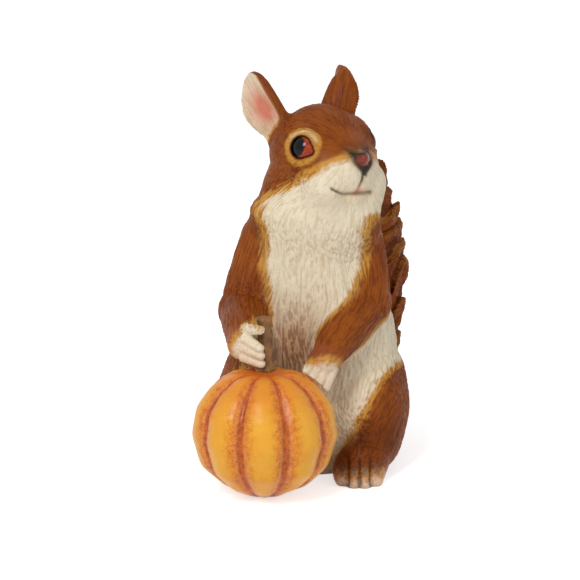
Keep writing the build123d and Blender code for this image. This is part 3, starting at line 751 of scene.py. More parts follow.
SLACKS = {
    "right shoulder": Slack((-28.5, -4.0, 115.0), 9.0, 2.4),
    "left shoulder": Slack((29.5, -4.0, 112.0), 9.0, 4.6),
    "right haunch": Slack((-40.0, -4.0, 48.0), 9.0, 1.6),
    "left heel": Slack((41.0, -8.0, 14.0), 8.0, 1.6),
    "left haunch": Slack((42.0, -5.0, 42.0), 8.0, -1.2),
    "left temple": Slack((22.0, 0.0, 153.0), 6.0, -1.3),
    "crown": Slack((2.0, -4.0, 163.0), 11.0, -1.2),
}
FILLERS = {
    "left ear, upper edge": Filler((11.4, 17.5, 166.5), (2.3, 2.3, 2.6), 4.0),
    "left ear, edge": Filler((10.4, 16.0, 163.0), (3.1, 3.0, 3.2), 4.0),
    "left ear, lower edge": Filler((9.5, 14.5, 159.0), (3.9, 3.6, 4.0), 4.0),
    "left ear, base": Filler((8.6, 13.0, 155.0), (4.5, 4.2, 4.4), 4.0),
    "throat": Filler((6.0, -14.0, 111.0), (23.5, 16.5, 17.0), 8.0),
    "right shoulder": Filler((-18.5, -4.0, 108.0), (9.5, 9.5, 10.0), 2.0),
    "left shoulder": Filler((19.5, -4.0, 106.0), (9.5, 9.5, 10.0), 2.0),
    "left toes": Filler((20.0, -40.0, 4.0), (10.2, 12.4, 13.2), 3.0),
    "right toes": Filler((-20.0, -25.5, 4.0), (10.2, 12.4, 13.2), 3.0),
    "left heel": Filler((29.0, -25.0, 12.0), (8.0, 17.0, 10.0), 6.0),
    "right heel": Filler((-29.0, -14.0, 12.0), (8.0, 15.0, 10.0), 6.0),
}
SWELLINGS = {
    "lip": Swelling(17.0, 8.6, -8.0, (6.0, 5.0, 4.6), 1.1),
    "cheek": Swelling(17.0, 14.0, -12.0, (7.0, 5.0, 5.0), 1.6),
    "brow": Swelling(9.0, 15.5, 12.0, (7.0, 4.0, 3.6), 1.1),
    "chin": Swelling(21.0, 0.0, -16.8, (5.0, 7.0, 2.6), 0.9),
}
BODY_CORE = BodyCore()
TUFTS = TailTufts()


@dataclass(frozen=True)
class Skin:
    """Surface of one casting, before its fur is modelled."""

    points: Array
    quads: Array
    normals: Array
    shares: dict[str, Array]
    seam: Array
    hollow: Array


class FurForm:
    """Joined form of all the furred castings, cut again into its pieces."""

    FILLETS = {
        "body": 0.0,
        "head": 12.0,
        "left_haunch": 8.0,
        "right_haunch": 8.0,
        "left_arm": 4.0,
        "right_arm": 4.0,
        "left_foot": 2.5,
        "right_foot": 2.5,
        "left_ear": 5.0,
        "right_ear": 5.0,
        "tail": 3.0,
    }
    LEAST_FILLET = 0.5
    COARSE_STEP = 0.6
    FINE_STEP = 0.42
    FINE_NODES = ("left_arm", "right_arm", "left_foot")
    TAIL_SOFTENING = 4.2
    OVERLAP = 0.6
    MARGIN = 4.0
    GIVING_WAY = 2.2

    def __init__(self, nodes: dict[str, bpy.types.Object]) -> None:
        """Measures every furred node.

        Args:
            nodes: Nodes of the frame by name.
        """
        self.fields = {}
        for name in self.FILLETS:
            step = self.FINE_STEP if name in self.FINE_NODES else self.COARSE_STEP
            self.fields[name] = NodeField(nodes[name], step)
        self.fields["tail"].soften(self.TAIL_SOFTENING)

    def _near(self, lattice: Lattice) -> list[str]:
        """Names of the nodes that reach a lattice.

        Args:
            lattice: Lattice round a piece.

        Returns:
            The names.
        """
        names = []
        for name, found in self.fields.items():
            low, high = found.box
            below = np.all(low - NodeField.BAND < lattice.high)
            if below and np.all(high + NodeField.BAND > lattice.low):
                names.append(name)
        return names

    @staticmethod
    def _face(points: Array, form: Array) -> Array:
        """Adds the lids, cheeks, lips and brows of the face.

        Args:
            points: Points of a lattice.
            form: Field so far.

        Returns:
            The field with the face in it.
        """
        ahead, left, up = HEAD.local(points)
        for swelling in SWELLINGS.values():
            form = form - swelling.rise(ahead, np.abs(left), up)
        for seat in (LEFT_EYE, RIGHT_EYE):
            nose, rise, out = seat.local(points)
            ball = np.linalg.norm(points - seat.ball_centre, axis=-1)
            lids = np.maximum(ball - seat.ball - seat.lid, -out - seat.sunk)
            form = smooth_union(form, lids, seat.lid_fillet)
            hole = np.maximum(seat.rim(nose, rise), -out - seat.socket)
            form = np.maximum(form, -np.maximum(hole, seat.ball - seat.bed - ball))
        return form

    @staticmethod
    def _region(name: str, fields: dict[str, Array]) -> Array:
        """Field of what lies nearer to one node than to the others."""
        others = [values for other, values in fields.items() if other != name]
        return fields[name] - np.minimum.reduce(others)

    def _joined(self, lattice: Lattice, points: Array, fields: dict[str, Array]) -> Array:
        """Joins the castings on a lattice and models their folds and the face.

        Args:
            lattice: Lattice round a piece.
            points: Points of the lattice.
            fields: Distances on the lattice by node.

        Returns:
            The joined field.
        """
        form = None
        for near, values in fields.items():
            fillet = max(self.FILLETS[near], self.LEAST_FILLET)
            form = values if form is None else smooth_union(form, values, fillet)
        for filler in FILLERS.values():
            filler.join(lattice, points, form)
        for slack in SLACKS.values():
            slack.ease(lattice, points, form)
        if "head" in fields:
            centre = np.array(HEAD.centre)
            face = lattice.block(centre - HEAD.reach, centre + HEAD.reach)
            form[face] = self._face(points[face], form[face])
        return form

    def _mesh(self, name: str, pitch: float, part: Part) -> tuple[Array, Array]:
        """Closed mesh of one casting or of its front or back.

        Args:
            name: Name of its node.
            pitch: Size of a facet.
            part: Part of the casting to mesh.

        Returns:
            Corners and quads.
        """
        low, high = (corner.copy() for corner in self.fields[name].box)
        middle = (low[1] + high[1]) / 2
        if part is Part.FRONT:
            high[1] = middle
        if part is Part.BACK:
            low[1] = middle
        lattice = Lattice(low - self.MARGIN, high + self.MARGIN, pitch)
        points = lattice.points()
        fields = {near: self.fields[near].on(lattice) for near in self._near(lattice)}
        if "body" in fields:
            core = BODY_CORE.distance(*np.ix_(*lattice.axes()))
            fields["body"] = np.minimum(fields["body"], core)
        if "tail" in fields:
            near = fields["tail"] < 2 * TUFTS.depth
            fields["tail"][near] -= TUFTS.height(points[near])
        form = self._joined(lattice, points, fields)
        cut = np.maximum(form, self._region(name, fields) - self.OVERLAP)
        cut = np.maximum(cut, -points[..., 2])
        if part is Part.FRONT:
            cut = np.maximum(cut, points[..., 1] - middle)
        if part is Part.BACK:
            cut = np.maximum(cut, middle - points[..., 1])
        grid = openvdb.FloatGrid()
        grid.copyFromArray(cut.astype(np.float32))
        corners, quads = grid.convertToQuads(isovalue=0.0)
        return self._largest(lattice.low + np.asarray(corners, float) * pitch, np.asarray(quads, int))

    @staticmethod
    def _largest(corners: Array, quads: Array) -> tuple[Array, Array]:
        """Keeps the largest connected shell of a mesh.

        Args:
            corners: Corners of the mesh.
            quads: Quads of the mesh.

        Returns:
            Corners and quads of the shell, facing outward.
        """
        label = np.arange(len(corners))
        while True:
            low = label[quads].min(axis=1)
            fresh = label.copy()
            np.minimum.at(fresh, quads.ravel(), np.repeat(low, 4))
            fresh = fresh[fresh]
            if np.array_equal(fresh, label):
                break
            label = fresh
        shells, counts = np.unique(label[quads[:, 0]], return_counts=True)
        quads = quads[label[quads[:, 0]] == shells[counts.argmax()]]
        kept, quads = np.unique(quads, return_inverse=True)
        corners, quads = corners[kept], quads.reshape(-1, 4)
        first, second, third = (corners[quads[:, k]] for k in (0, 1, 2))
        volume = np.einsum("ij,ij->i", first, np.cross(second, third)).sum()
        return corners, quads if volume > 0 else quads[:, ::-1]

    def _weights(self, points: Array) -> tuple[dict[str, Array], Array]:
        """Soft share of each casting at points, and the way to the next casting.

        Args:
            points: Rows of points.

        Returns:
            Shares by name, which add up to one, and the distance from the seams. The head and
            the body count as one there, because no seam shows between them.
        """
        found = {name: values.at(points) for name, values in self.fields.items()}
        found["body"] = np.minimum(found["body"], BODY_CORE.distance(*points.T))
        least = np.minimum.reduce(list(found.values()))
        shares = {name: np.exp(-(values - least) / self.GIVING_WAY) for name, values in found.items()}
        total = sum(shares.values())
        found["body"] = np.minimum(found["body"], found.pop("head"))
        seam = np.sort(np.stack(list(found.values())), axis=0)[1] - least
        return {name: values / total for name, values in shares.items()}, seam

    def skin(self, name: str, pitch: float, part: Part) -> Skin:
        """Surface of one casting or of its front or back.

        Args:
            name: Name of its node.
            pitch: Size of a facet.
            part: Part of the casting to mesh.

        Returns:
            The surface.
        """
        points, quads = self._mesh(name, pitch, part)
        shares, seam = self._weights(points)
        normals = vertex_normals(points, quads)
        return Skin(points, quads, normals, shares, seam, hollows(points, quads, normals, pitch))


@dataclass(frozen=True)
class Groove:
    """Rounded groove, or with a negative depth a ridge."""

    depth: float
    width: float

    def cut(self, distance: Array) -> Array:
        """Depth at a distance from the middle of the groove."""
        return self.depth * bell(distance, self.width)


@dataclass(frozen=True)
class Muzzle:
    """Mouth, lip cleft, nose pad and nostrils, placed in the axes of the head."""

    smile_level: float = -14.1
    smile_curl: float = 0.036
    curl_start: float = -4.0
    smile_squash: float = 0.97
    smile_left: float = 7.0
    smile_right: float = -13.4
    cleft_aside: float = 1.2
    cleft_lean: float = 0.32
    cleft_level: float = -5.0
    cleft_top: float = -3.0
    cleft_foot: float = -12.8
    pad_aside: float = 1.4
    pad_half_width: float = 5.5
    pad_top: float = 4.3
    pad_foot: float = -6.0
    pad_taper: float = 0.85
    taper: Span = (1.0, -6.2)
    nostril_aside: float = 2.9
    nostril_level: float = -0.6
    nostril_squash: float = 1.2
    chin_level: float = -16.0
    face_front: float = 8.0
    pad_front: float = 20.0
    carved_front: float = 22.0
    out_of_reach: float = 50.0
    smile_groove: Groove = Groove(1.3, 0.95)
    cleft_groove: Groove = Groove(1.1, 1.0)
    pad_groove: Groove = Groove(0.35, 0.5)
    pad_groove_offset: float = 0.4
    nostril_pit: Groove = Groove(0.9, 1.0)
    chin_ridge: Groove = Groove(-0.35, 4.0)

    def _behind(self, ahead: Array, front: float) -> Array:
        """Distance that takes what lies behind a front out of reach."""
        return np.where(ahead > front, 0.0, self.out_of_reach)

    def smile(self, points: Array) -> Array:
        """Distance from the line of the mouth.

        Args:
            points: Rows of points.

        Returns:
            The distances.
        """
        ahead, left, up = HEAD.local(points)
        level = self.smile_level + self.smile_curl * np.minimum(left - self.curl_start, 0) ** 2
        past = np.maximum(np.maximum(left - self.smile_left, self.smile_right - left), 0)
        return np.hypot((up - level) * self.smile_squash, past) + self._behind(ahead, self.face_front)

    def cleft(self, points: Array) -> Array:
        """Distance from the cleft of the lip.

        Args:
            points: Rows of points.

        Returns:
            The distances.
        """
        ahead, left, up = HEAD.local(points)
        aside = left - self.cleft_aside - self.cleft_lean * (up - self.cleft_level)
        past = np.maximum(np.maximum(up - self.cleft_top, self.cleft_foot - up), 0)
        return np.hypot(aside, past) + self._behind(ahead, self.face_front)

    def pad(self, points: Array) -> Array:
        """Signed way outside the nose pad.

        Args:
            points: Rows of points.

        Returns:
            The distances, negative in the pad.
        """
        ahead, left, up = HEAD.local(points)
        wide = self.pad_half_width * (1 - smooth(*self.taper, up) * self.pad_taper)
        past = np.maximum(up - self.pad_top, self.pad_foot - up)
        return np.maximum(np.abs(left - self.pad_aside) - wide, past) + self._behind(ahead, self.pad_front)

    def nostril(self, points: Array) -> Array:
        """Distance from the nearer nostril.

        Args:
            points: Rows of points.

        Returns:
            The distances.
        """
        _, left, up = HEAD.local(points)
        aside = np.abs(left - self.pad_aside) - self.nostril_aside
        return np.hypot(aside, (up - self.nostril_level) * self.nostril_squash)

    def carving(self, points: Array) -> Array:
        """Height of the carved mouth, nose and chin.

        Args:
            points: Rows of points.

        Returns:
            Heights in millimetres.
        """
        ahead, left, up = HEAD.local(points)
        height = -self.smile_groove.cut(self.smile(points)) - self.cleft_groove.cut(self.cleft(points))
        height -= self.pad_groove.cut(self.pad(points) - self.pad_groove_offset)
        front = np.where(ahead > self.carved_front, 1.0, 0.0)
        height -= self.nostril_pit.cut(self.nostril(points)) * front
        return height - self.chin_ridge.cut(np.hypot(left, up - self.chin_level)) * front


@dataclass(frozen=True)
class Toes:
    """Toes of the two hind feet."""

    middle: float = 20.0
    gaps: tuple[float, ...] = (-5.0, 0.0, 5.0)
    half_width: float = 2.5
    left_front: float = -52.0
    right_front: float = -37.5
    fade_up: Span = (15.0, 10.5)
    fade_back: Span = (16.0, 9.0)
    groove: Groove = Groove(1.0, 0.9)

    @property
    def fronts(self) -> dict[str, float]:
        """Front of each foot by the name of its node."""
        return {"left_foot": self.left_front, "right_foot": self.right_front}

    def gap(self, points: Array) -> Array:
        """Distance sideways from the nearest gap between two toes."""
        aside = np.abs(points[:, 0]) - self.middle
        return np.min(np.abs(aside[:, None] - np.array(self.gaps)), axis=1)

    def low(self, points: Array) -> Array:
        """Mask of the low front of the feet."""
        front = np.where(points[:, 0] > 0, self.left_front, self.right_front)
        return smooth(*self.fade_up, points[:, 2]) * smooth(*self.fade_back, points[:, 1] - front)


MUZZLE = Muzzle()
TOES = Toes()
SIDES = {"left": 1, "right": -1}
FUR_DEPTHS = {
    "body": 0.36,
    "head": 0.18,
    "left_arm": 0.28,
    "right_arm": 0.28,
    "left_haunch": 0.3,
    "right_haunch": 0.3,
    "left_foot": 0.1,
    "right_foot": 0.1,
    "left_ear": 0.06,
    "right_ear": 0.06,
    "tail": 0.3,
}


@dataclass(frozen=True)
class FurCoat:
    """Direction and relief of the fur at any point of the figure."""

    clumps: Grain = field(default_factory=lambda: Grain(11, 1.25, 14.0, 13))
    strands: Grain = field(default_factory=lambda: Grain(23, 0.5, 7.0, 14))
    locks: Grain = field(default_factory=lambda: Grain(37, 2.6, 22.0, 11))
    sway: Grain = field(default_factory=lambda: Grain(97, 9.0, 0.0, 1))
    nose_tip: Place = (27.0, 0.0, 3.0)
    head_fall: float = 0.25
    chest_fan: float = 0.006
    chest_sway: float = 0.22
    lap_turn: float = 0.3
    lap: Span = (60.0, 40.0)
    haunch_way: Place = (-0.42, -0.55, -0.72)
    foot_way: Place = (0.0, -1.0, -0.15)
    tail_fan: float = 24.0
    tail_rise: float = 0.75
    crispness: float = 0.9
    lock_crispness: float = 1.1
    muzzle_trim: float = 0.85
    muzzle: Span = (9.0, 20.0)
    hand_trim: float = 0.8
    hand: Span = (11.0, 7.0)
    clump_share: float = 0.45
    strand_share: float = 0.65
    lock_depth: float = 0.4
    clump_tint_share: float = 0.16
    strand_tint_share: float = 0.84
    lock_tint_share: float = 0.3
    trimmed_tint_share: float = 0.45
    least_brush_share: float = 0.01

    def flow(self, skin: Skin) -> Array:
        """Direction that the fur lies in.

        Args:
            skin: Surface of a casting.

        Returns:
            Directions of length one.
        """
        points = skin.points
        count = len(points)
        head = unit(points - HEAD.place(*self.nose_tip)) - np.array([0, 0, self.head_fall])
        chest = np.tile(np.array([0.0, 0.0, -1.0]), (count, 1))
        chest[:, 0] = points[:, 0] * self.chest_fan + self.chest_sway * self.sway.streaks(points, chest)
        chest[:, 1] = smooth(*self.lap, points[:, 2]) * -self.lap_turn
        brush = np.zeros((count, 3))
        brush[:, 0] = (points[:, 0] - TUFTS.middle) / self.tail_fan
        brush[:, 2] = self.tail_rise
        ways = {"head": head, "body": chest, "tail": brush}
        for name, limb in LIMBS.items():
            ways[name] = limb.fur_way(points)
        for name, seat in EARS.items():
            ways[name] = np.tile(seat.axes[1], (count, 1))
        inward, forward, down = self.haunch_way
        for side, sign in SIDES.items():
            ways[f"{side}_haunch"] = np.tile(np.array([inward * sign, forward, down]), (count, 1))
            ways[f"{side}_foot"] = np.tile(np.array(self.foot_way), (count, 1))
        return unit(sum(unit(way) * skin.shares[name][:, None] for name, way in ways.items()))

    def relief(self, skin: Skin, way: Array) -> tuple[Array, Array]:
        """Height of the modelled fur.

        Args:
            skin: Surface of a casting.
            way: Direction of the fur.

        Returns:
            Height in millimetres and the strand value from -1 to 1.
        """
        points, shares = skin.points, skin.shares
        clump = np.tanh(self.clumps.streaks(points, way) * self.crispness)
        strand = np.tanh(self.strands.streaks(points, way) * self.crispness)
        ahead, _, _ = HEAD.local(points)
        long = 1 - self.muzzle_trim * smooth(*self.muzzle, ahead) * shares["head"]
        for name, limb in LIMBS.items():
            long = long * (1 - self.hand_trim * shares[name] * smooth(*self.hand, limb.to_hand(points)))
        depth = sum(shares[name] * amount for name, amount in FUR_DEPTHS.items())
        lock = np.zeros(len(points))
        brush = shares["tail"] > self.least_brush_share
        lock[brush] = np.tanh(self.locks.streaks(points[brush], way[brush]) * self.lock_crispness)
        lock = lock * shares["tail"]
        height = depth * long * (self.clump_share * clump + self.strand_share * strand)
        tint = self.clump_tint_share * clump + self.strand_tint_share * strand
        tint = np.clip(tint + self.lock_tint_share * lock, -1, 1)
        tint = tint * (self.trimmed_tint_share + (1 - self.trimmed_tint_share) * long)
        return height + self.lock_depth * lock, tint

    @staticmethod
    def features(skin: Skin) -> Array:
        """Height of the carved features: mouth, nostrils and toes.

        Args:
            skin: Surface of a casting.

        Returns:
            Heights in millimetres.
        """
        points, shares = skin.points, skin.shares
        feet = shares["left_foot"] + shares["right_foot"]
        toes = TOES.groove.cut(TOES.gap(points)) * TOES.low(points)
        return MUZZLE.carving(points) * shares["head"] - feet * toes


@dataclass(frozen=True)
class PaleFur:
    """Lines that part the pale fur from the brown, positive on the pale side."""

    ragged: Grain = field(default_factory=lambda: Grain(53, 2.2, 12.0, 7))
    ragged_width: float = 0.4
    strand_width: float = 0.9
    limit: float = 9.0
    brown_side: float = 6.5
    brown_side_body: float = 3.0
    pale_side: float = 5.5
    jaw_level: float = -14.7
    jaw_slope: float = 0.6
    jaw_steepness: float = 1.17
    nose_lift: float = 1.0
    nose: Span = (14.0, 24.0)
    bib_right: tuple[Span, ...] = ((45, -24), (60, -21), (72, -20.5), (93, -22), (110, -19), (125, -17))
    bib_left: tuple[Span, ...] = ((45, 40), (72, 18), (93, 23), (110, 22), (125, 19))
    bib_back: float = -4.0
    bib_back_slope: float = 0.8
    flank_back: float = 13.0
    flank_slope: float = 0.6
    flank: Span = (80.0, 66.0)
    arm_inset: float = 3.0
    arm: Span = (80.0, 92.0)
    hand_reach: float = 14.0
    hand_slope: float = 1.3
    haunch_level: float = 56.0
    haunch_aside: float = 38.0
    haunch_slope: float = 1.57
    haunch_steepness: float = 1.86
    haunch_back: float = -6.0
    haunch_back_slope: float = 0.6
    toe_level: float = 5.2
    toe_slope: float = 1.2
    toe_length: float = 6.0
    toe_back_slope: float = 0.9
    ear_facing: float = 14.0
    ear_inset: float = 4.0
    ear_front: Span = (1.0, 6.5)
    ring_radius: float = 6.9
    ring_width: float = 2.1
    ring_share: float = 0.56
    brow_share: float = 0.38
    brow: Span = (4.0, 10.0)
    far_ring_radius: float = 7.6
    far_ring_width: float = 1.6
    far_ring_share: float = 0.8
    far_ring: Span = (12.0, 6.0)
    ring_paint_share: float = 0.82

    def _bib(self, points: Array) -> Array:
        """Way inside the edges of the pale chest.

        Args:
            points: Rows of points.

        Returns:
            The distances.
        """
        x, y, z = points.T
        right = x - np.interp(z, *zip(*self.bib_right))
        left = np.interp(z, *zip(*self.bib_left)) - x
        return np.minimum(np.minimum(right, left), (self.bib_back - y) * self.bib_back_slope)

    def _torso(self, points: Array) -> Array:
        """Way inside the pale chest and the pale flank below the left arm.

        Args:
            points: Rows of points.

        Returns:
            The distances.
        """
        x, y, z = points.T
        bib = self._bib(points)
        low = smooth(*self.flank, z)
        flank = np.maximum(bib, (self.flank_back - y) * self.flank_slope)
        return bib * (1 - low) + np.where(x > 0, flank, bib) * low

    def _arm(self, limb: Limb, points: Array) -> Array:
        """Way inside the pale fingers or the pale edge of the chest.

        Args:
            limb: The arm.
            points: Rows of points.

        Returns:
            The distances.
        """
        high = smooth(*self.arm, points[:, 2])
        upper = (self._bib(points) - self.arm_inset) * high - self.limit * (1 - high)
        fingers = self.hand_reach - limb.to_hand(points)
        fingers = np.minimum(fingers, limb.along_hand(points) * self.hand_slope)
        return np.maximum(fingers, np.maximum(upper, -self.limit))

    def _ear(self, seat: EarSeat, skin: Skin) -> Array:
        """Way inside the pale cup of an ear.

        Args:
            seat: Place of the ear.
            skin: Surface of a casting.

        Returns:
            The distances.
        """
        across, _, _ = seat.local(skin.points)
        front = smooth(*self.ear_front, -seat.side * across)
        return (skin.normals @ seat.axes[2] - front) * self.ear_facing - self.ear_inset

    def _lines(self, skin: Skin) -> dict[str, Array]:
        """Way inside the pale paint of each casting.

        Args:
            skin: Surface of a casting.

        Returns:
            The distances by name.
        """
        x, y, z = skin.points.T
        ahead, _, up = HEAD.local(skin.points)
        jaw = (self.jaw_level + self.jaw_slope * ahead - up) / self.jaw_steepness
        lines = {
            "head": jaw + smooth(*self.nose, ahead) * self.nose_lift,
            "body": self._torso(skin.points),
            "tail": np.full(len(x), -self.limit),
        }
        for name, limb in LIMBS.items():
            lines[name] = self._arm(limb, skin.points)
        for name, seat in EARS.items():
            lines[name] = self._ear(seat, skin)
        for side, sign in SIDES.items():
            slope = z - self.haunch_level - self.haunch_slope * (sign * x - self.haunch_aside)
            back = np.maximum(y - self.haunch_back, 0) * self.haunch_back_slope
            lines[f"{side}_haunch"] = slope / self.haunch_steepness - back
        for name, front in TOES.fronts.items():
            back = np.maximum(y - front - self.toe_length, 0) * self.toe_back_slope
            lines[name] = (self.toe_level - z) * self.toe_slope - back
        return lines

    def _eye_rings(self, points: Array) -> Array:
        """Pale rings round the eyes.

        Args:
            points: Rows of points.

        Returns:
            Values from 0 to 1.
        """
        ahead, _, up = HEAD.local(points)
        near = np.linalg.norm(points - RIGHT_EYE.centre, axis=1)
        ring = bell(near - self.ring_radius, self.ring_width)
        ring = ring * (self.ring_share + self.brow_share * smooth(*self.brow, up))
        far = np.linalg.norm(points - LEFT_EYE.centre, axis=1)
        far = bell(far - self.far_ring_radius, self.far_ring_width) * smooth(*self.far_ring, ahead)
        return np.maximum(ring, far * self.far_ring_share)

    def mask(self, skin: Skin, way: Array, strand: Array) -> Array:
        """Mask of the pale paint.

        Args:
            skin: Surface of a casting.
            way: Direction of the fur.
            strand: Strand value.

        Returns:
            Values from 0 on brown fur to 1 on pale fur.
        """
        shares = skin.shares
        rough = self.ragged.streaks(skin.points, way) * self.ragged_width + strand * self.strand_width
        lines = self._lines(skin)
        line = sum(shares[name] * np.clip(way_in, -self.limit, self.limit) for name, way_in in lines.items())
        soft = self.brown_side_body * (shares["body"] + shares["left_arm"] + shares["right_arm"])
        soft = self.brown_side + soft
        pale = smooth(0, 1, (line + rough + soft) / (soft + self.pale_side))
        return np.maximum(pale, shares["head"] * self._eye_rings(skin.points) * self.ring_paint_share)


@dataclass(frozen=True)
class FacePaint:
    """Dark lines, nose and lip of the face, placed in the axes of the head."""

    smile_width: float = 0.6
    smile_share: float = 0.5
    right_corner: Span = (-5.0, -12.0)
    right_corner_share: float = 0.4
    left_corner: Span = (4.0, 7.0)
    left_corner_share: float = 0.15
    cleft_width: float = 1.0
    cleft_share: float = 0.9
    cleft: Span = (-14.0, -7.0)
    pad_edge: Span = (1.6, -0.6)
    pad_share: float = 0.97
    nostril_width: float = 1.2
    nose: Span = (20.0, 23.0)
    lids_offset: float = 0.1
    lids_width: float = 0.42
    lids_depth: Span = (-4.0, -1.0)
    lids_share: float = 0.95
    far_socket: Span = (6.9, 5.9)
    leather_aside: float = 1.1
    leather_up: float = 1.0
    leather_half_width: float = 5.5
    leather_half_height: float = 3.2
    leather_edge: Span = (1.0, 0.6)
    bridge_edge: Span = (4.5, 0.5)
    bridge: Span = (-9.0, 1.0)
    bridge_share: float = 0.75
    lip_shade_width: float = 2.6
    lip_shade: Span = (-12.5, -15.0)
    lip_shade_share: float = 0.4
    lip_aside: float = -0.8
    lip_up: float = -13.2
    lip_stretch: float = 0.5
    lip_width: float = 1.5
    lip_share: float = 0.9

    def ink(self, points: Array) -> Array:
        """Mask of the dark lines.

        Args:
            points: Rows of points.

        Returns:
            Values from 0 to 1.
        """
        ahead, left, up = HEAD.local(points)
        corners = self.right_corner_share * smooth(*self.right_corner, left)
        corners = corners + self.left_corner_share * smooth(*self.left_corner, left)
        ink = (self.smile_share + corners) * bell(MUZZLE.smile(points), self.smile_width)
        cleft = self.cleft_share * bell(MUZZLE.cleft(points), self.cleft_width) * smooth(*self.cleft, up)
        pad = self.pad_share * smooth(*self.pad_edge, MUZZLE.pad(points))
        nostril = bell(MUZZLE.nostril(points), self.nostril_width) * smooth(*self.nose, ahead)
        far = np.linalg.norm(points - LEFT_EYE.centre, axis=1)
        far = self.lids_share * smooth(*self.far_socket, far)
        ink = np.maximum.reduce([ink, cleft, pad, nostril, far])
        for seat in (LEFT_EYE, RIGHT_EYE):
            across, rise, out = seat.local(points)
            lids = bell(seat.rim(across, rise) - self.lids_offset, self.lids_width)
            lids = self.lids_share * lids * smooth(*self.lids_depth, out) * (left * seat.side > 0)
            ink = np.maximum(ink, lids)
        return ink

    def leather(self, points: Array) -> Array:
        """Mask of the red leather of the nose.

        Args:
            points: Rows of points.

        Returns:
            Values from 0 to 1.
        """
        ahead, left, up = HEAD.local(points)
        aside = (left - self.leather_aside) / self.leather_half_width
        away = np.hypot(aside, (up - self.leather_up) / self.leather_half_height)
        return smooth(*self.leather_edge, away) * smooth(*self.nose, ahead)

    def shade(self, points: Array) -> Array:
        """Mask of the dark brown round the nose, partly painted shade, and of the painted shadow under the
        lip.

        Args:
            points: Rows of points.

        Returns:
            Values from 0 to 1.
        """
        _, _, up = HEAD.local(points)
        # Dark brown round the nose pad: partly airbrushed paint, partly painted shade.
        bridge = self.bridge_share * smooth(*self.bridge_edge, MUZZLE.pad(points)) * smooth(*self.bridge, up)
        # Painted shadow under the lip, below the mouth line.
        lip = self.lip_shade_share * bell(MUZZLE.smile(points), self.lip_shade_width)
        return np.maximum(bridge, lip * smooth(*self.lip_shade, up))

    def lip(self, points: Array) -> Array:
        """Mask of the pink lip.

        Args:
            points: Rows of points.

        Returns:
            Values from 0 to 1.
        """
        ahead, left, up = HEAD.local(points)
        away = np.hypot((left - self.lip_aside) * self.lip_stretch, up - self.lip_up)
        return self.lip_share * bell(away, self.lip_width) * smooth(*self.nose, ahead)


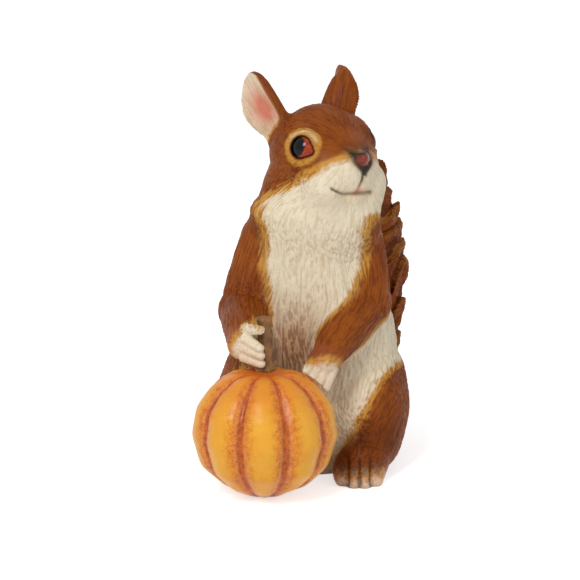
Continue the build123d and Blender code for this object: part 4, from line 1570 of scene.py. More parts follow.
@dataclass(frozen=True)
class FurPaint:
    """Paint masks of the furred castings."""

    pale: PaleFur = field(default_factory=PaleFur)
    face: FacePaint = FacePaint()
    ear_cup: Span = (-0.1, 0.35)
    ear_pink_aside: float = 1.6
    ear_pink_rise: float = 9.8
    ear_pink_width: float = 5.2
    ear_pink_height: float = 9.4
    ear_pink_share: float = 1.3
    ear_root: Span = (8.0, 0.0)
    ear_root_share: float = 0.5
    palm: Span = (9.0, 6.0)
    palm_share: float = 0.12
    finger: Span = (13.0, 9.0)
    finger_share: float = 0.5
    toe_gap_width: float = 0.7
    toe_gap_share: float = 0.75
    toe_pink: Span = (8.0, 4.0)
    toe_pink_share: float = 0.35
    claw_level: float = 7.0
    claw_narrow: float = 1.3
    claw_tall: float = 0.8
    claw_width: float = 1.5
    claw_share: float = 0.8
    # Painted shade along the seams, in the creases and over the insteps under the haunches.
    seam_width: float = 1.4
    seam_share: float = 0.55
    seam_spare_share: float = 0.6
    hollow_share: float = 0.85
    instep_level: float = 16.0
    instep_front: float = -40.0
    instep_stretch: float = 0.5
    instep_width: float = 8.0
    instep_share: float = 0.8
    # Painted shade at the roots of the tail's tufts and a painted highlight on their tips.
    tuft_grain: float = 0.15
    tuft_root: Span = (0.6, 0.05)
    tuft_root_share: float = 0.85
    tuft_tip: Span = (0.6, 0.95)
    tuft_tip_share: float = 0.3
    # Darker brown belly between the arms: partly its own tan paint and partly painted shade under the arms.
    belly_aside: float = -7.0
    belly_level: float = 57.0
    belly_width: float = 22.0
    belly_height: float = 19.0
    belly_front: Span = (-8.0, -20.0)

    def _ears(self, skin: Skin) -> tuple[Array, Array]:
        """Masks of the pink cups and of the painted shade at the roots of the ears.

        Args:
            skin: Surface of a casting.

        Returns:
            The pink mask and the mask of painted shade.
        """
        pink = np.zeros(len(skin.points))
        dark = np.zeros(len(skin.points))
        for name, seat in EARS.items():
            across, rise, _ = seat.local(skin.points)
            cup = skin.shares[name] * smooth(*self.ear_cup, skin.normals @ seat.axes[2])
            aside = (seat.side * across - self.ear_pink_aside) / self.ear_pink_width
            heart = np.exp(-(aside**2) - ((rise - self.ear_pink_rise) / self.ear_pink_height) ** 2)
            pink = np.maximum(pink, np.clip(self.ear_pink_share * cup * heart, 0, 1))
            # Painted shade deep in the cup, toward the root of the ear.
            dark = np.maximum(dark, self.ear_root_share * smooth(*self.ear_root, rise) * cup)
        return pink, dark

    def _hands(self, skin: Skin) -> tuple[Array, Array]:
        """Masks of the pink palms and the dark lines between the fingers.

        Args:
            skin: Surface of a casting.

        Returns:
            The pink mask and the ink mask.
        """
        pink = np.zeros(len(skin.points))
        ink = np.zeros(len(skin.points))
        for name, limb in LIMBS.items():
            hand = limb.to_hand(skin.points)
            pink = np.maximum(pink, skin.shares[name] * self.palm_share * smooth(*self.palm, hand))
            lines = self.finger_share * smooth(*self.finger, hand) * skin.hollow
            ink = np.maximum(ink, skin.shares[name] * lines)
        return pink, ink

    def _shade(self, skin: Skin, pale: Array) -> Array:
        """Mask of the painted shade in the folds, along the seams and over the insteps.

        Args:
            skin: Surface of a casting.
            pale: Mask of the pale paint.

        Returns:
            Values from 0 to 1.
        """
        _, y, z = skin.points.T
        # Painted shade along the seams between castings, less on the head and on pale fur.
        spare = (1 - self.seam_spare_share * skin.shares["head"]) * (1 - self.seam_spare_share * pale)
        seam = self.seam_share * bell(skin.seam, self.seam_width) * spare
        # Painted shade over the insteps, under the haunches.
        away = np.hypot(z - self.instep_level, (y - self.instep_front) * self.instep_stretch)
        instep = self.instep_share * bell(away, self.instep_width)
        legs = [skin.shares[f"{side}_{limb}"] for side in SIDES for limb in ("haunch", "foot")]
        # Painted shade in the creases, with the seams and the insteps.
        return np.maximum.reduce([seam, self.hollow_share * skin.hollow, np.maximum.reduce(legs) * instep])

    def masks(self, skin: Skin, way: Array, strand: Array) -> dict[str, Array]:
        """Paint masks of a casting.

        Args:
            skin: Surface of the casting.
            way: Direction of the fur.
            strand: Strand value.

        Returns:
            Masks by name.
        """
        points, shares = skin.points, skin.shares
        x, y, z = points.T
        head, tail = shares["head"], shares["tail"]
        feet = (shares["left_foot"] + shares["right_foot"]) * TOES.low(points)
        pale = self.pale.mask(skin, way, strand)
        ear_pink, ear_shade = self._ears(skin)
        palm_pink, finger_ink = self._hands(skin)
        gap = TOES.gap(points)
        toe_ink = self.toe_gap_share * feet * bell(gap, self.toe_gap_width)
        toe_pink = self.toe_pink_share * feet * smooth(*self.toe_pink, z)
        claw = np.hypot((TOES.half_width - gap) * self.claw_narrow, (z - self.claw_level) * self.claw_tall)
        # Painted shade at the roots of the tail's tufts and a painted highlight on their tips.
        tuft = TUFTS.way_up(points) + self.tuft_grain * strand
        tuft_shade = self.tuft_root_share * tail * smooth(*self.tuft_root, tuft)
        tuft_highlight = self.tuft_tip_share * tail * smooth(*self.tuft_tip, tuft)
        # The dark mask is painted shade: round the nose, under the lip, at the ear and tuft roots, in folds,
        # along seams and over insteps.
        dark = [head * self.face.shade(points), ear_shade, tuft_shade, self._shade(skin, pale)]
        pink = [head * self.face.lip(points), ear_pink, palm_pink, toe_pink]
        # Darker brown belly between the arms: partly its own tan paint and partly painted shade under the
        # arms.
        aside = (x - self.belly_aside) / self.belly_width
        belly = np.exp(-(aside**2) - ((z - self.belly_level) / self.belly_height) ** 2)
        return {
            # The pale mask also carries the painted highlight on the tail's tuft tips.
            "pale": np.maximum(pale, tuft_highlight),
            "ink": np.maximum.reduce([head * self.face.ink(points), finger_ink, toe_ink]),
            "dark": np.maximum.reduce(dark),
            "pink": np.maximum.reduce(pink),
            "nose": head * self.face.leather(points),
            "claw": self.claw_share * feet * bell(claw, self.claw_width),
            "tan": shares["body"] * belly * smooth(*self.belly_front, y),
            "strand": strand,
        }


class Graph:
    """Short hand for building a node tree."""

    MIX_FIRST = 6
    MIX_SECOND = 7
    MIX_RESULT = 2

    def __init__(self, tree: bpy.types.NodeTree) -> None:
        """Keeps the tree to build in."""
        self.tree = tree

    def node(self, kind: str, **values: object) -> bpy.types.Node:
        """Adds a node.

        Args:
            kind: Type of the node.
            **values: Properties to set.

        Returns:
            The node.
        """
        made = self.tree.nodes.new(kind)
        for name, value in values.items():
            setattr(made, name, value)
        return made

    def feed(self, socket: bpy.types.NodeSocket, value: object) -> None:
        """Links or sets an input.

        Args:
            socket: The input.
            value: Output socket, number or colour.
        """
        if isinstance(value, bpy.types.NodeSocket):
            self.tree.links.new(value, socket)
        elif isinstance(value, tuple) and len(value) == 3 and socket.type == "RGBA":
            socket.default_value = (*value, 1.0)
        else:
            socket.default_value = value

    def math(self, kind: str, *values: object, clamp: bool = False) -> bpy.types.NodeSocket:
        """Adds a maths node.

        Args:
            kind: Operation.
            *values: Its inputs.
            clamp: Whether to hold the result from 0 to 1.

        Returns:
            Its output.
        """
        made = self.node("ShaderNodeMath", operation=kind, use_clamp=clamp)
        for socket, value in zip(made.inputs, values):
            self.feed(socket, value)
        return made.outputs[0]

    def mix(self, share: object, first: object, second: object) -> bpy.types.NodeSocket:
        """Mixes two colours.

        Args:
            share: How much of the second.
            first: One colour.
            second: The other colour.

        Returns:
            The mixed colour.
        """
        made = self.node("ShaderNodeMix", data_type="RGBA")
        self.feed(made.inputs[0], share)
        self.feed(made.inputs[self.MIX_FIRST], first)
        self.feed(made.inputs[self.MIX_SECOND], second)
        return made.outputs[self.MIX_RESULT]

    def span(
        self, value: object, low: float, high: float, start: float = 0.0, end: float = 1.0
    ) -> bpy.types.NodeSocket:
        """Soft step of a value.

        Args:
            value: Value to step.
            low: Value that gives the start.
            high: Value that gives the end.
            start: Result at low.
            end: Result at high.

        Returns:
            The stepped value.
        """
        made = self.node("ShaderNodeMapRange", interpolation_type="SMOOTHSTEP")
        for index, part in enumerate((value, low, high, start, end)):
            self.feed(made.inputs[index], part)
        return made.outputs[0]

    def attribute(self, name: str) -> bpy.types.NodeSocket:
        """Reads a value stored on the mesh."""
        return self.node("ShaderNodeAttribute", attribute_name=name).outputs["Fac"]

    def noise(self, scale: float, detail: float) -> bpy.types.NodeSocket:
        """Noise in object space.

        Args:
            scale: Grains to the metre.
            detail: Octaves.

        Returns:
            Its value.
        """
        place = self.node("ShaderNodeTexCoord").outputs["Object"]
        made = self.node("ShaderNodeTexNoise")
        self.feed(made.inputs["Vector"], place)
        self.feed(made.inputs["Scale"], scale)
        self.feed(made.inputs["Detail"], detail)
        return made.outputs["Fac"]

    def shown(self) -> bpy.types.NodeSocket:
        """Finds the rays that show the background: straight, mirrored or through glass.

        Returns:
            1 for such a ray and 0 for any other.
        """
        path = self.node("ShaderNodeLightPath").outputs
        mirrored = self.math("MAXIMUM", path["Is Glossy Ray"], path["Is Transmission Ray"])
        return self.math("MAXIMUM", path["Is Camera Ray"], mirrored)

    def group(self, tree: bpy.types.NodeTree, **values: object) -> bpy.types.Node:
        """Adds a node group.

        Args:
            tree: The group.
            **values: Its inputs by name.

        Returns:
            The node.
        """
        made = self.node("ShaderNodeGroup", node_tree=tree)
        for name, value in values.items():
            self.feed(made.inputs[name], value)
        return made


@dataclass
class Effects:
    """Paint effects that several materials share, as node groups.

    Scales are grains to the metre.
    """

    spatter_scale: float = 1500.0
    spatter: Span = (0.5, 0.72)
    blot_scale: float = 420.0
    blot: Span = (0.4, 0.7)
    blot_share: float = 0.55
    patch_scale: float = 90.0
    patch: Span = (0.3, 0.7)
    patch_shares: Span = (0.8, 1.1)
    groove: Span = (0.15, -0.8)
    ridge: Span = (0.15, 0.85)
    coarse_scale: float = 900.0
    coarse_share: float = 0.6
    fine_scale: float = 3200.0
    fine_share: float = 0.4
    uneven_scale: float = 140.0
    uneven: Span = (0.3, 0.7)
    uneven_shares: Span = (-0.07, 0.08)

    def __post_init__(self) -> None:
        """Builds the groups."""
        self.speckle = self._speckle()
        self.brushed = self._brushed()
        self.skin = self._skin()

    @staticmethod
    def _start(
        name: str, inputs: dict[str, str], outputs: dict[str, str]
    ) -> tuple[Graph, bpy.types.Node, bpy.types.Node]:
        """Starts a group.

        Args:
            name: Name of the group.
            inputs: Socket types by name.
            outputs: Socket types by name.

        Returns:
            The graph of the group, its input node and its output node.
        """
        tree = bpy.data.node_groups.new(name, "ShaderNodeTree")
        for label, kind in inputs.items():
            tree.interface.new_socket(label, in_out="INPUT", socket_type=kind)
        for label, kind in outputs.items():
            tree.interface.new_socket(label, in_out="OUTPUT", socket_type=kind)
        graph = Graph(tree)
        return graph, graph.node("NodeGroupInput"), graph.node("NodeGroupOutput")

    def _speckle(self) -> bpy.types.NodeTree:
        """Fine spatter of a darker paint.

        Returns:
            The group.
        """
        inputs = {"Colour": COLOUR_SOCKET, "Spatter": COLOUR_SOCKET, "Amount": VALUE_SOCKET}
        graph, source, sink = self._start("speckle", inputs, {"Colour": COLOUR_SOCKET})
        fine = graph.span(graph.noise(self.spatter_scale, 2.0), *self.spatter)
        blots = graph.span(graph.noise(self.blot_scale, 3.0), *self.blot)
        spots = graph.math("MAXIMUM", fine, graph.math("MULTIPLY", blots, self.blot_share))
        share = graph.math("MULTIPLY", spots, source.outputs["Amount"], clamp=True)
        colour = graph.mix(share, source.outputs["Colour"], source.outputs["Spatter"])
        graph.feed(sink.inputs["Colour"], colour)
        return graph.tree

    def _brushed(self) -> bpy.types.NodeTree:
        """Wash in the grooves and dry brush on the ridges of modelled fur.

        Returns:
            The group.
        """
        inputs = {label: COLOUR_SOCKET for label in ("Colour", "Wash", "Ridge")}
        inputs |= {label: VALUE_SOCKET for label in ("Strand", "Amount")}
        graph, source, sink = self._start("brushed", inputs, {"Colour": COLOUR_SOCKET})
        patch = graph.span(graph.noise(self.patch_scale, 3.0), *self.patch, *self.patch_shares)
        colour = source.outputs["Colour"]
        for limits, paint in ((self.groove, "Wash"), (self.ridge, "Ridge")):
            share = graph.math("MULTIPLY", graph.span(source.outputs["Strand"], *limits), patch, clamp=True)
            share = graph.math("MULTIPLY", share, source.outputs["Amount"], clamp=True)
            colour = graph.mix(share, colour, source.outputs[paint])
        graph.feed(sink.inputs["Colour"], colour)
        return graph.tree

    def _skin(self) -> bpy.types.NodeTree:
        """Fine unevenness of a painted casting.

        Returns:
            The group.
        """
        outputs = {"Height": VALUE_SOCKET, "Roughness": VALUE_SOCKET}
        graph, source, sink = self._start("paint_skin", {"Roughness": VALUE_SOCKET}, outputs)
        coarse = graph.math("MULTIPLY", graph.noise(self.coarse_scale, 3.0), self.coarse_share)
        fine = graph.math("MULTIPLY", graph.noise(self.fine_scale, 2.0), self.fine_share)
        graph.feed(sink.inputs["Height"], graph.math("ADD", coarse, fine))
        uneven = graph.span(graph.noise(self.uneven_scale, 4.0), *self.uneven, *self.uneven_shares)
        roughness = graph.math("ADD", source.outputs["Roughness"], uneven, clamp=True)
        graph.feed(sink.inputs["Roughness"], roughness)
        return graph.tree


class Surface:
    """Material with one principled shader."""

    def __init__(self, name: str) -> None:
        """Starts the material.

        Args:
            name: Name of the material.
        """
        self.material = bpy.data.materials.new(name)
        self.material.use_nodes = True
        self.graph = Graph(self.material.node_tree)
        self.shader = self.material.node_tree.nodes["Principled BSDF"]

    def set(self, **values: object) -> None:
        """Sets inputs of the shader."""
        for name, value in values.items():
            self.graph.feed(self.shader.inputs[name.replace("_", " ")], value)

    def bump(self, height: bpy.types.NodeSocket, distance: float, strength: float) -> None:
        """Gives the surface fine relief.

        Args:
            height: Height from 0 to 1.
            distance: Depth of the relief in millimetres.
            strength: How much of it shows.
        """
        made = self.graph.node("ShaderNodeBump")
        self.graph.feed(made.inputs["Strength"], strength)
        self.graph.feed(made.inputs["Distance"], distance * MILLI)
        self.graph.feed(made.inputs["Height"], height)
        self.graph.feed(self.shader.inputs["Normal"], made.outputs["Normal"])


@dataclass(frozen=True)
class FurFinish:
    """Hand-painted fur."""

    chestnut: Colour = linear(124, 57, 12)
    ember: Colour = linear(150, 78, 21)
    recess: Colour = linear(76, 32, 9)
    gold: Colour = linear(198, 142, 60)
    cream: Colour = linear(232, 219, 192)
    tan: Colour = linear(190, 156, 110)
    belly: Colour = linear(178, 136, 88)
    blush: Colour = linear(214, 132, 108)
    ink: Colour = linear(26, 18, 16)
    pad: Colour = linear(136, 50, 33)
    claw: Colour = linear(112, 100, 90)
    cloud_scale: float = 60.0
    cloud: Span = (0.3, 0.7)
    brown_brush: float = 0.5
    gold_brush: float = 0.5
    cream_brush: float = 0.42
    gold_edge: Span = (0.12, 0.5)
    cream_edge: Span = (0.54, 0.93)
    belly_share: float = 0.9
    belly_strands: Span = (-0.5, 0.5)
    painted_shade_share: float = 0.85
    spatter: float = 0.1
    roughness: float = 0.46
    nose_roughness: float = 0.24
    nose_coat: float = 0.4
    sheen_level: float = 0.1
    relief: float = 0.12
    relief_strength: float = 0.6

    def _fur(self, graph: Graph, effects: Effects) -> bpy.types.NodeSocket:
        """Colour of the fur before its markings.

        Args:
            graph: Graph of the material.
            effects: Shared effects.

        Returns:
            The colour.
        """
        pale, strand = graph.attribute("pale"), graph.attribute("strand")
        cloud = graph.span(graph.noise(self.cloud_scale, 4.0), *self.cloud)
        brown = graph.mix(cloud, self.chestnut, self.ember)
        coats = []
        for base, wash_and_shade, ridge, amount in (
            (brown, self.recess, self.ember, self.brown_brush),
            (self.gold, self.chestnut, self.gold, self.gold_brush),
            (self.cream, self.tan, self.cream, self.cream_brush),
        ):
            coat = graph.group(
                effects.brushed, Colour=base, Wash=wash_and_shade, Ridge=ridge, Strand=strand, Amount=amount
            )
            coats.append(coat.outputs["Colour"])
        colour = graph.mix(graph.span(pale, *self.gold_edge), coats[0], coats[1])
        return graph.mix(graph.span(pale, *self.cream_edge), colour, coats[2])

    def material(self, name: str, effects: Effects) -> bpy.types.Material:
        """Builds the material.

        Args:
            name: Name of the material.
            effects: Shared effects.

        Returns:
            The material.
        """
        surface = Surface(name)
        graph = surface.graph
        colour = self._fur(graph, effects)
        # Darker brown belly: partly its own tan paint and partly painted shade under the arms.
        belly = graph.span(graph.attribute("strand"), *self.belly_strands)
        belly = graph.mix(belly, self.chestnut, self.belly)
        colour = graph.mix(graph.math("MULTIPLY", graph.attribute("tan"), self.belly_share), colour, belly)
        colour = graph.mix(graph.attribute("pink"), colour, self.blush)
        # Painted shade from the dark mask: deep brown on brown fur, tan on pale fur.
        wash_and_shade = graph.mix(graph.attribute("pale"), self.recess, self.tan)
        colour = graph.mix(graph.math("MULTIPLY", graph.attribute("dark"), self.painted_shade_share), colour, wash_and_shade)
        spatter = graph.group(effects.speckle, Colour=colour, Spatter=self.recess, Amount=self.spatter)
        colour = graph.mix(graph.attribute("claw"), spatter.outputs["Colour"], self.claw)
        colour = graph.mix(graph.attribute("ink"), colour, self.ink)
        nose = graph.attribute("nose")
        colour = graph.mix(nose, colour, self.pad)
        gloss = graph.span(nose, 0, 1, self.roughness, self.nose_roughness)
        skin = graph.group(effects.skin, Roughness=gloss)
        surface.set(Base_Color=colour, Roughness=skin.outputs["Roughness"])
        surface.set(Coat_Weight=graph.math("MULTIPLY", nose, self.nose_coat))
        surface.set(Specular_IOR_Level=self.sheen_level)
        surface.bump(skin.outputs["Height"], self.relief, self.relief_strength)
        return surface.material


@dataclass(frozen=True)
class EyeFinish:
    """Glossy painted eye."""

    pupil: Colour = linear(4, 4, 5)
    iris: Colour = linear(176, 66, 24)
    shade: Colour = linear(112, 32, 14)
    rim: Colour = linear(30, 12, 8)
    ray_scale: float = 900.0
    rays: Span = (0.3, 0.75)
    roughness: float = 0.1
    polish: float = 0.8
    coat: float = 0.42
    coat_roughness: float = 0.04

    def material(self, name: str, effects: Effects) -> bpy.types.Material:
        """Builds the material.

        Args:
            name: Name of the material.
            effects: Shared effects.

        Returns:
            The material.
        """
        surface = Surface(name)
        graph = surface.graph
        rays = graph.span(graph.noise(self.ray_scale, 3.0), *self.rays)
        colour = graph.mix(rays, self.iris, self.shade)
        colour = graph.mix(graph.attribute("rim"), colour, self.rim)
        colour = graph.mix(graph.attribute("pupil"), colour, self.pupil)
        skin = graph.group(effects.skin, Roughness=self.roughness)
        roughness = graph.math("MULTIPLY", skin.outputs["Roughness"], self.polish)
        surface.set(Base_Color=colour, Roughness=roughness, Specular_IOR_Level=0.0)
        surface.set(Coat_Weight=self.coat, Coat_Roughness=self.coat_roughness)
        return surface.material


@dataclass(frozen=True)
class PumpkinFinish:
    """Satin pumpkin paint, speckled toward the grooves."""

    flesh: Colour = linear(238, 174, 52)
    warm: Colour = linear(226, 132, 34)
    groove: Colour = linear(192, 88, 26)
    deep: Colour = linear(146, 56, 20)
    pale: Colour = linear(228, 176, 130)
    cloud_scale: float = 70.0
    cloud: Span = (0.35, 0.7)
    cloud_share: float = 0.35
    lobe_edge: Span = (0.7, 0.1)
    lobe_share: float = 0.9
    crown_share: float = 0.7
    spatter_edge: Span = (0.85, 0.15)
    spatter: Span = (0.12, 1.5)
    groove_edge: Span = (0.72, 1.0)
    groove_share: float = 0.75
    deep_edge: Span = (0.6, 1.0)
    deep_spatter: float = 1.2
    edge_share: float = 0.22
    pole_share: float = 0.8
    roughness: float = 0.36
    sheen_level: float = 0.3
    relief: float = 0.16
    relief_strength: float = 0.5

    def material(self, name: str, effects: Effects) -> bpy.types.Material:
        """Builds the material.

        Args:
            name: Name of the material.
            effects: Shared effects.

        Returns:
            The material.
        """
        surface = Surface(name)
        graph = surface.graph
        groove, lobe = graph.attribute("groove"), graph.attribute("lobe")
        cloud = graph.span(graph.noise(self.cloud_scale, 4.0), *self.cloud)
        colour = graph.mix(graph.math("MULTIPLY", cloud, self.cloud_share), self.flesh, self.warm)
        colour = graph.mix(graph.span(lobe, *self.lobe_edge, 0.0, self.lobe_share), colour, self.warm)
        crown = graph.math("MULTIPLY", graph.attribute("crown"), self.crown_share)
        colour = graph.mix(crown, colour, self.warm)
        amount = graph.span(lobe, *self.spatter_edge, *self.spatter)
        spatter = graph.group(effects.speckle, Colour=colour, Spatter=self.groove, Amount=amount)
        share = graph.span(groove, *self.groove_edge, 0.0, self.groove_share)
        colour = graph.mix(share, spatter.outputs["Colour"], self.groove)
        amount = graph.span(groove, *self.deep_edge, 0.0, self.deep_spatter)
        spatter = graph.group(effects.speckle, Colour=colour, Spatter=self.deep, Amount=amount)
        edge = graph.math("MULTIPLY", graph.attribute("edge"), self.edge_share)
        colour = graph.mix(edge, spatter.outputs["Colour"], self.pale)
        pole = graph.math("MULTIPLY", graph.attribute("pole"), self.pole_share)
        colour = graph.mix(pole, colour, self.groove)
        skin = graph.group(effects.skin, Roughness=self.roughness)
        surface.set(Base_Color=colour, Roughness=skin.outputs["Roughness"])
        surface.set(Specular_IOR_Level=self.sheen_level)
        surface.bump(skin.outputs["Height"], self.relief, self.relief_strength)
        return surface.material


@dataclass(frozen=True)
class PlainFinish:
    """Plain paint or rubber with a second colour in patches."""

    base: Colour
    patch: Colour
    roughness: float
    relief: float
    cloud_scale: float = 220.0
    cloud: Span = (0.35, 0.7)
    spatter: float = 0.5
    relief_strength: float = 0.7

    def material(self, name: str, effects: Effects) -> bpy.types.Material:
        """Builds the material.

        Args:
            name: Name of the material.
            effects: Shared effects.

        Returns:
            The material.
        """
        surface = Surface(name)
        graph = surface.graph
        cloud = graph.span(graph.noise(self.cloud_scale, 4.0), *self.cloud)
        colour = graph.mix(cloud, self.base, self.patch)
        spatter = graph.group(effects.speckle, Colour=colour, Spatter=self.patch, Amount=self.spatter)
        skin = graph.group(effects.skin, Roughness=self.roughness)
        surface.set(Base_Color=spatter.outputs["Colour"], Roughness=skin.outputs["Roughness"])
        surface.bump(skin.outputs["Height"], self.relief, self.relief_strength)
        return surface.material


def make_object(
    name: str, corners: Array, faces: list[list[int]], masks: dict[str, Array], material: bpy.types.Material
) -> bpy.types.Object:
    """Makes a smooth mesh object.

    Args:
        name: Name of the object.
        corners: Corners in millimetres.
        faces: Faces as lists of corner numbers.
        masks: Values for each corner by name.
        material: Material of the object.

    Returns:
        The object.
    """
    mesh = bpy.data.meshes.new(name)
    mesh.from_pydata((corners * MILLI).tolist(), [], faces)
    for label, values in masks.items():
        layer = mesh.attributes.new(label, "FLOAT", "POINT")
        layer.data.foreach_set("value", np.asarray(values, np.float32))
    mesh.polygons.foreach_set("use_smooth", np.ones(len(mesh.polygons), bool))
    mesh.materials.append(material)
    mesh.update()
    made = bpy.data.objects.new(name, mesh)
    bpy.context.scene.collection.objects.link(made)
    return made


def mount(made: bpy.types.Object, node: str) -> bpy.types.Object:
    """Puts a piece in the place of its node.

    Args:
        made: The piece.
        node: Node it stands for.

    Returns:
        The piece.
    """
    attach(made, "root")
    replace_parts(made, node)
    return made


@dataclass
class FurredFigure:
    """All the furred castings, each with the size of its facets."""

    pitches: dict[tuple[str, Part], float] = field(
        default_factory=lambda: {
            ("body", Part.FRONT): 0.38,
            ("body", Part.BACK): 0.5,
            ("head", Part.WHOLE): 0.36,
            ("left_ear", Part.WHOLE): 0.33,
            ("right_ear", Part.WHOLE): 0.33,
            ("left_arm", Part.WHOLE): 0.38,
            ("right_arm", Part.WHOLE): 0.38,
            ("left_haunch", Part.WHOLE): 0.4,
            ("right_haunch", Part.WHOLE): 0.42,
            ("left_foot", Part.WHOLE): 0.33,
            ("right_foot", Part.WHOLE): 0.36,
            ("tail", Part.WHOLE): 0.55,
        }
    )
    flat_foot: Span = (0.3, 2.0)
    coat: FurCoat = field(default_factory=FurCoat)
    paint: FurPaint = field(default_factory=FurPaint)
    finish: FurFinish = FurFinish()

    def _casting(self, name: str, skin: Skin, material: bpy.types.Material) -> bpy.types.Object:
        """Models the fur of one casting and paints it.

        Args:
            name: Name of the piece.
            skin: Its surface.
            material: Material of the fur.

        Returns:
            The piece.
        """
        way = self.coat.flow(skin)
        height, strand = self.coat.relief(skin, way)
        height = (height + self.coat.features(skin)) * smooth(*self.flat_foot, skin.points[:, 2])
        corners = skin.points + skin.normals * height[:, None]
        return make_object(name, corners, skin.quads.tolist(), self.paint.masks(skin, way, strand), material)

    def build(self, nodes: dict[str, bpy.types.Object], effects: Effects) -> list[bpy.types.Object]:
        """Builds every furred casting.

        Args:
            nodes: Nodes of the frame.
            effects: Shared effects.

        Returns:
            The pieces.
        """
        form = FurForm(nodes)
        material = self.finish.material("fur", effects)
        pieces = []
        for (node, part), pitch in self.pitches.items():
            made = self._casting(f"{node}_{part.value}", form.skin(node, pitch, part), material)
            pieces.append(mount(made, node))
        return pieces


@dataclass
class Eyes:
    """The two inset eyes."""

    rings: int = 40
    spokes: int = 96
    first_lean: float = 0.02
    skirt: float = 2.2
    cornea: Groove = Groove(0.12, 2.6)
    cornea_top: float = 0.1
    pupil_shift: float = -1.5
    pupil_radius: float = 3.9
    pupil_edge: Span = (0.5, -0.4)
    pupil_narrow: float = 1.05
    pupil_tall: float = 0.92
    rim_width: float = 0.9
    far_rim_width: float = 4.5
    finish: EyeFinish = EyeFinish()

    def _ball(self, seat: EyeSeat) -> tuple[Array, list[list[int]]]:
        """Mesh of one eye.

        Args:
            seat: Place of the eye.

        Returns:
            Corners and faces.
        """
        nose, up, out = seat.axes
        reach = math.acos((seat.sunk - self.skirt) / seat.ball)
        lean = np.linspace(self.first_lean, reach, self.rings)[:, None]
        turn = np.linspace(0, 2 * math.pi, self.spokes, endpoint=False)
        across = seat.ball * np.sin(lean) * np.cos(turn)
        rise = seat.ball * np.sin(lean) * np.sin(turn)
        depth = np.repeat(seat.ball * np.cos(lean), self.spokes, axis=1)
        depth = depth + self.cornea.cut(np.hypot(across - self.pupil_shift, rise))
        dome = across[..., None] * nose + rise[..., None] * up + depth[..., None] * out
        poles = [out * (seat.ball + self.cornea_top), np.zeros(3)]
        corners = seat.ball_centre + np.concatenate([dome.reshape(-1, 3), poles])
        faces = shell_faces(self.rings, self.spokes)
        if np.linalg.det(np.stack([nose, up, out])) > 0:
            faces = [face[::-1] for face in faces]
        return corners, faces

    def _masks(self, seat: EyeSeat, corners: Array) -> dict[str, Array]:
        """Paint masks of one eye.

        Args:
            seat: Place of the eye.
            corners: Corners of its mesh.

        Returns:
            Masks by name.
        """
        across, rise, _ = seat.local(corners)
        away = np.hypot((across - self.pupil_shift) * self.pupil_narrow, rise * self.pupil_tall)
        rim_width = self.rim_width if seat is RIGHT_EYE else self.far_rim_width
        return {
            "pupil": smooth(*self.pupil_edge, away - self.pupil_radius),
            "rim": smooth(-rim_width, 0.0, seat.rim(across, rise)),
        }

    def build(self, effects: Effects) -> list[bpy.types.Object]:
        """Builds the eyes.

        Args:
            effects: Shared effects.

        Returns:
            The pieces.
        """
        material = self.finish.material("eye", effects)
        pieces = []
        for node, seat in (("left_eye", LEFT_EYE), ("right_eye", RIGHT_EYE)):
            corners, faces = self._ball(seat)
            made = make_object(f"{node}_dome", corners, faces, self._masks(seat, corners), material)
            pieces.append(mount(made, node))
        return pieces


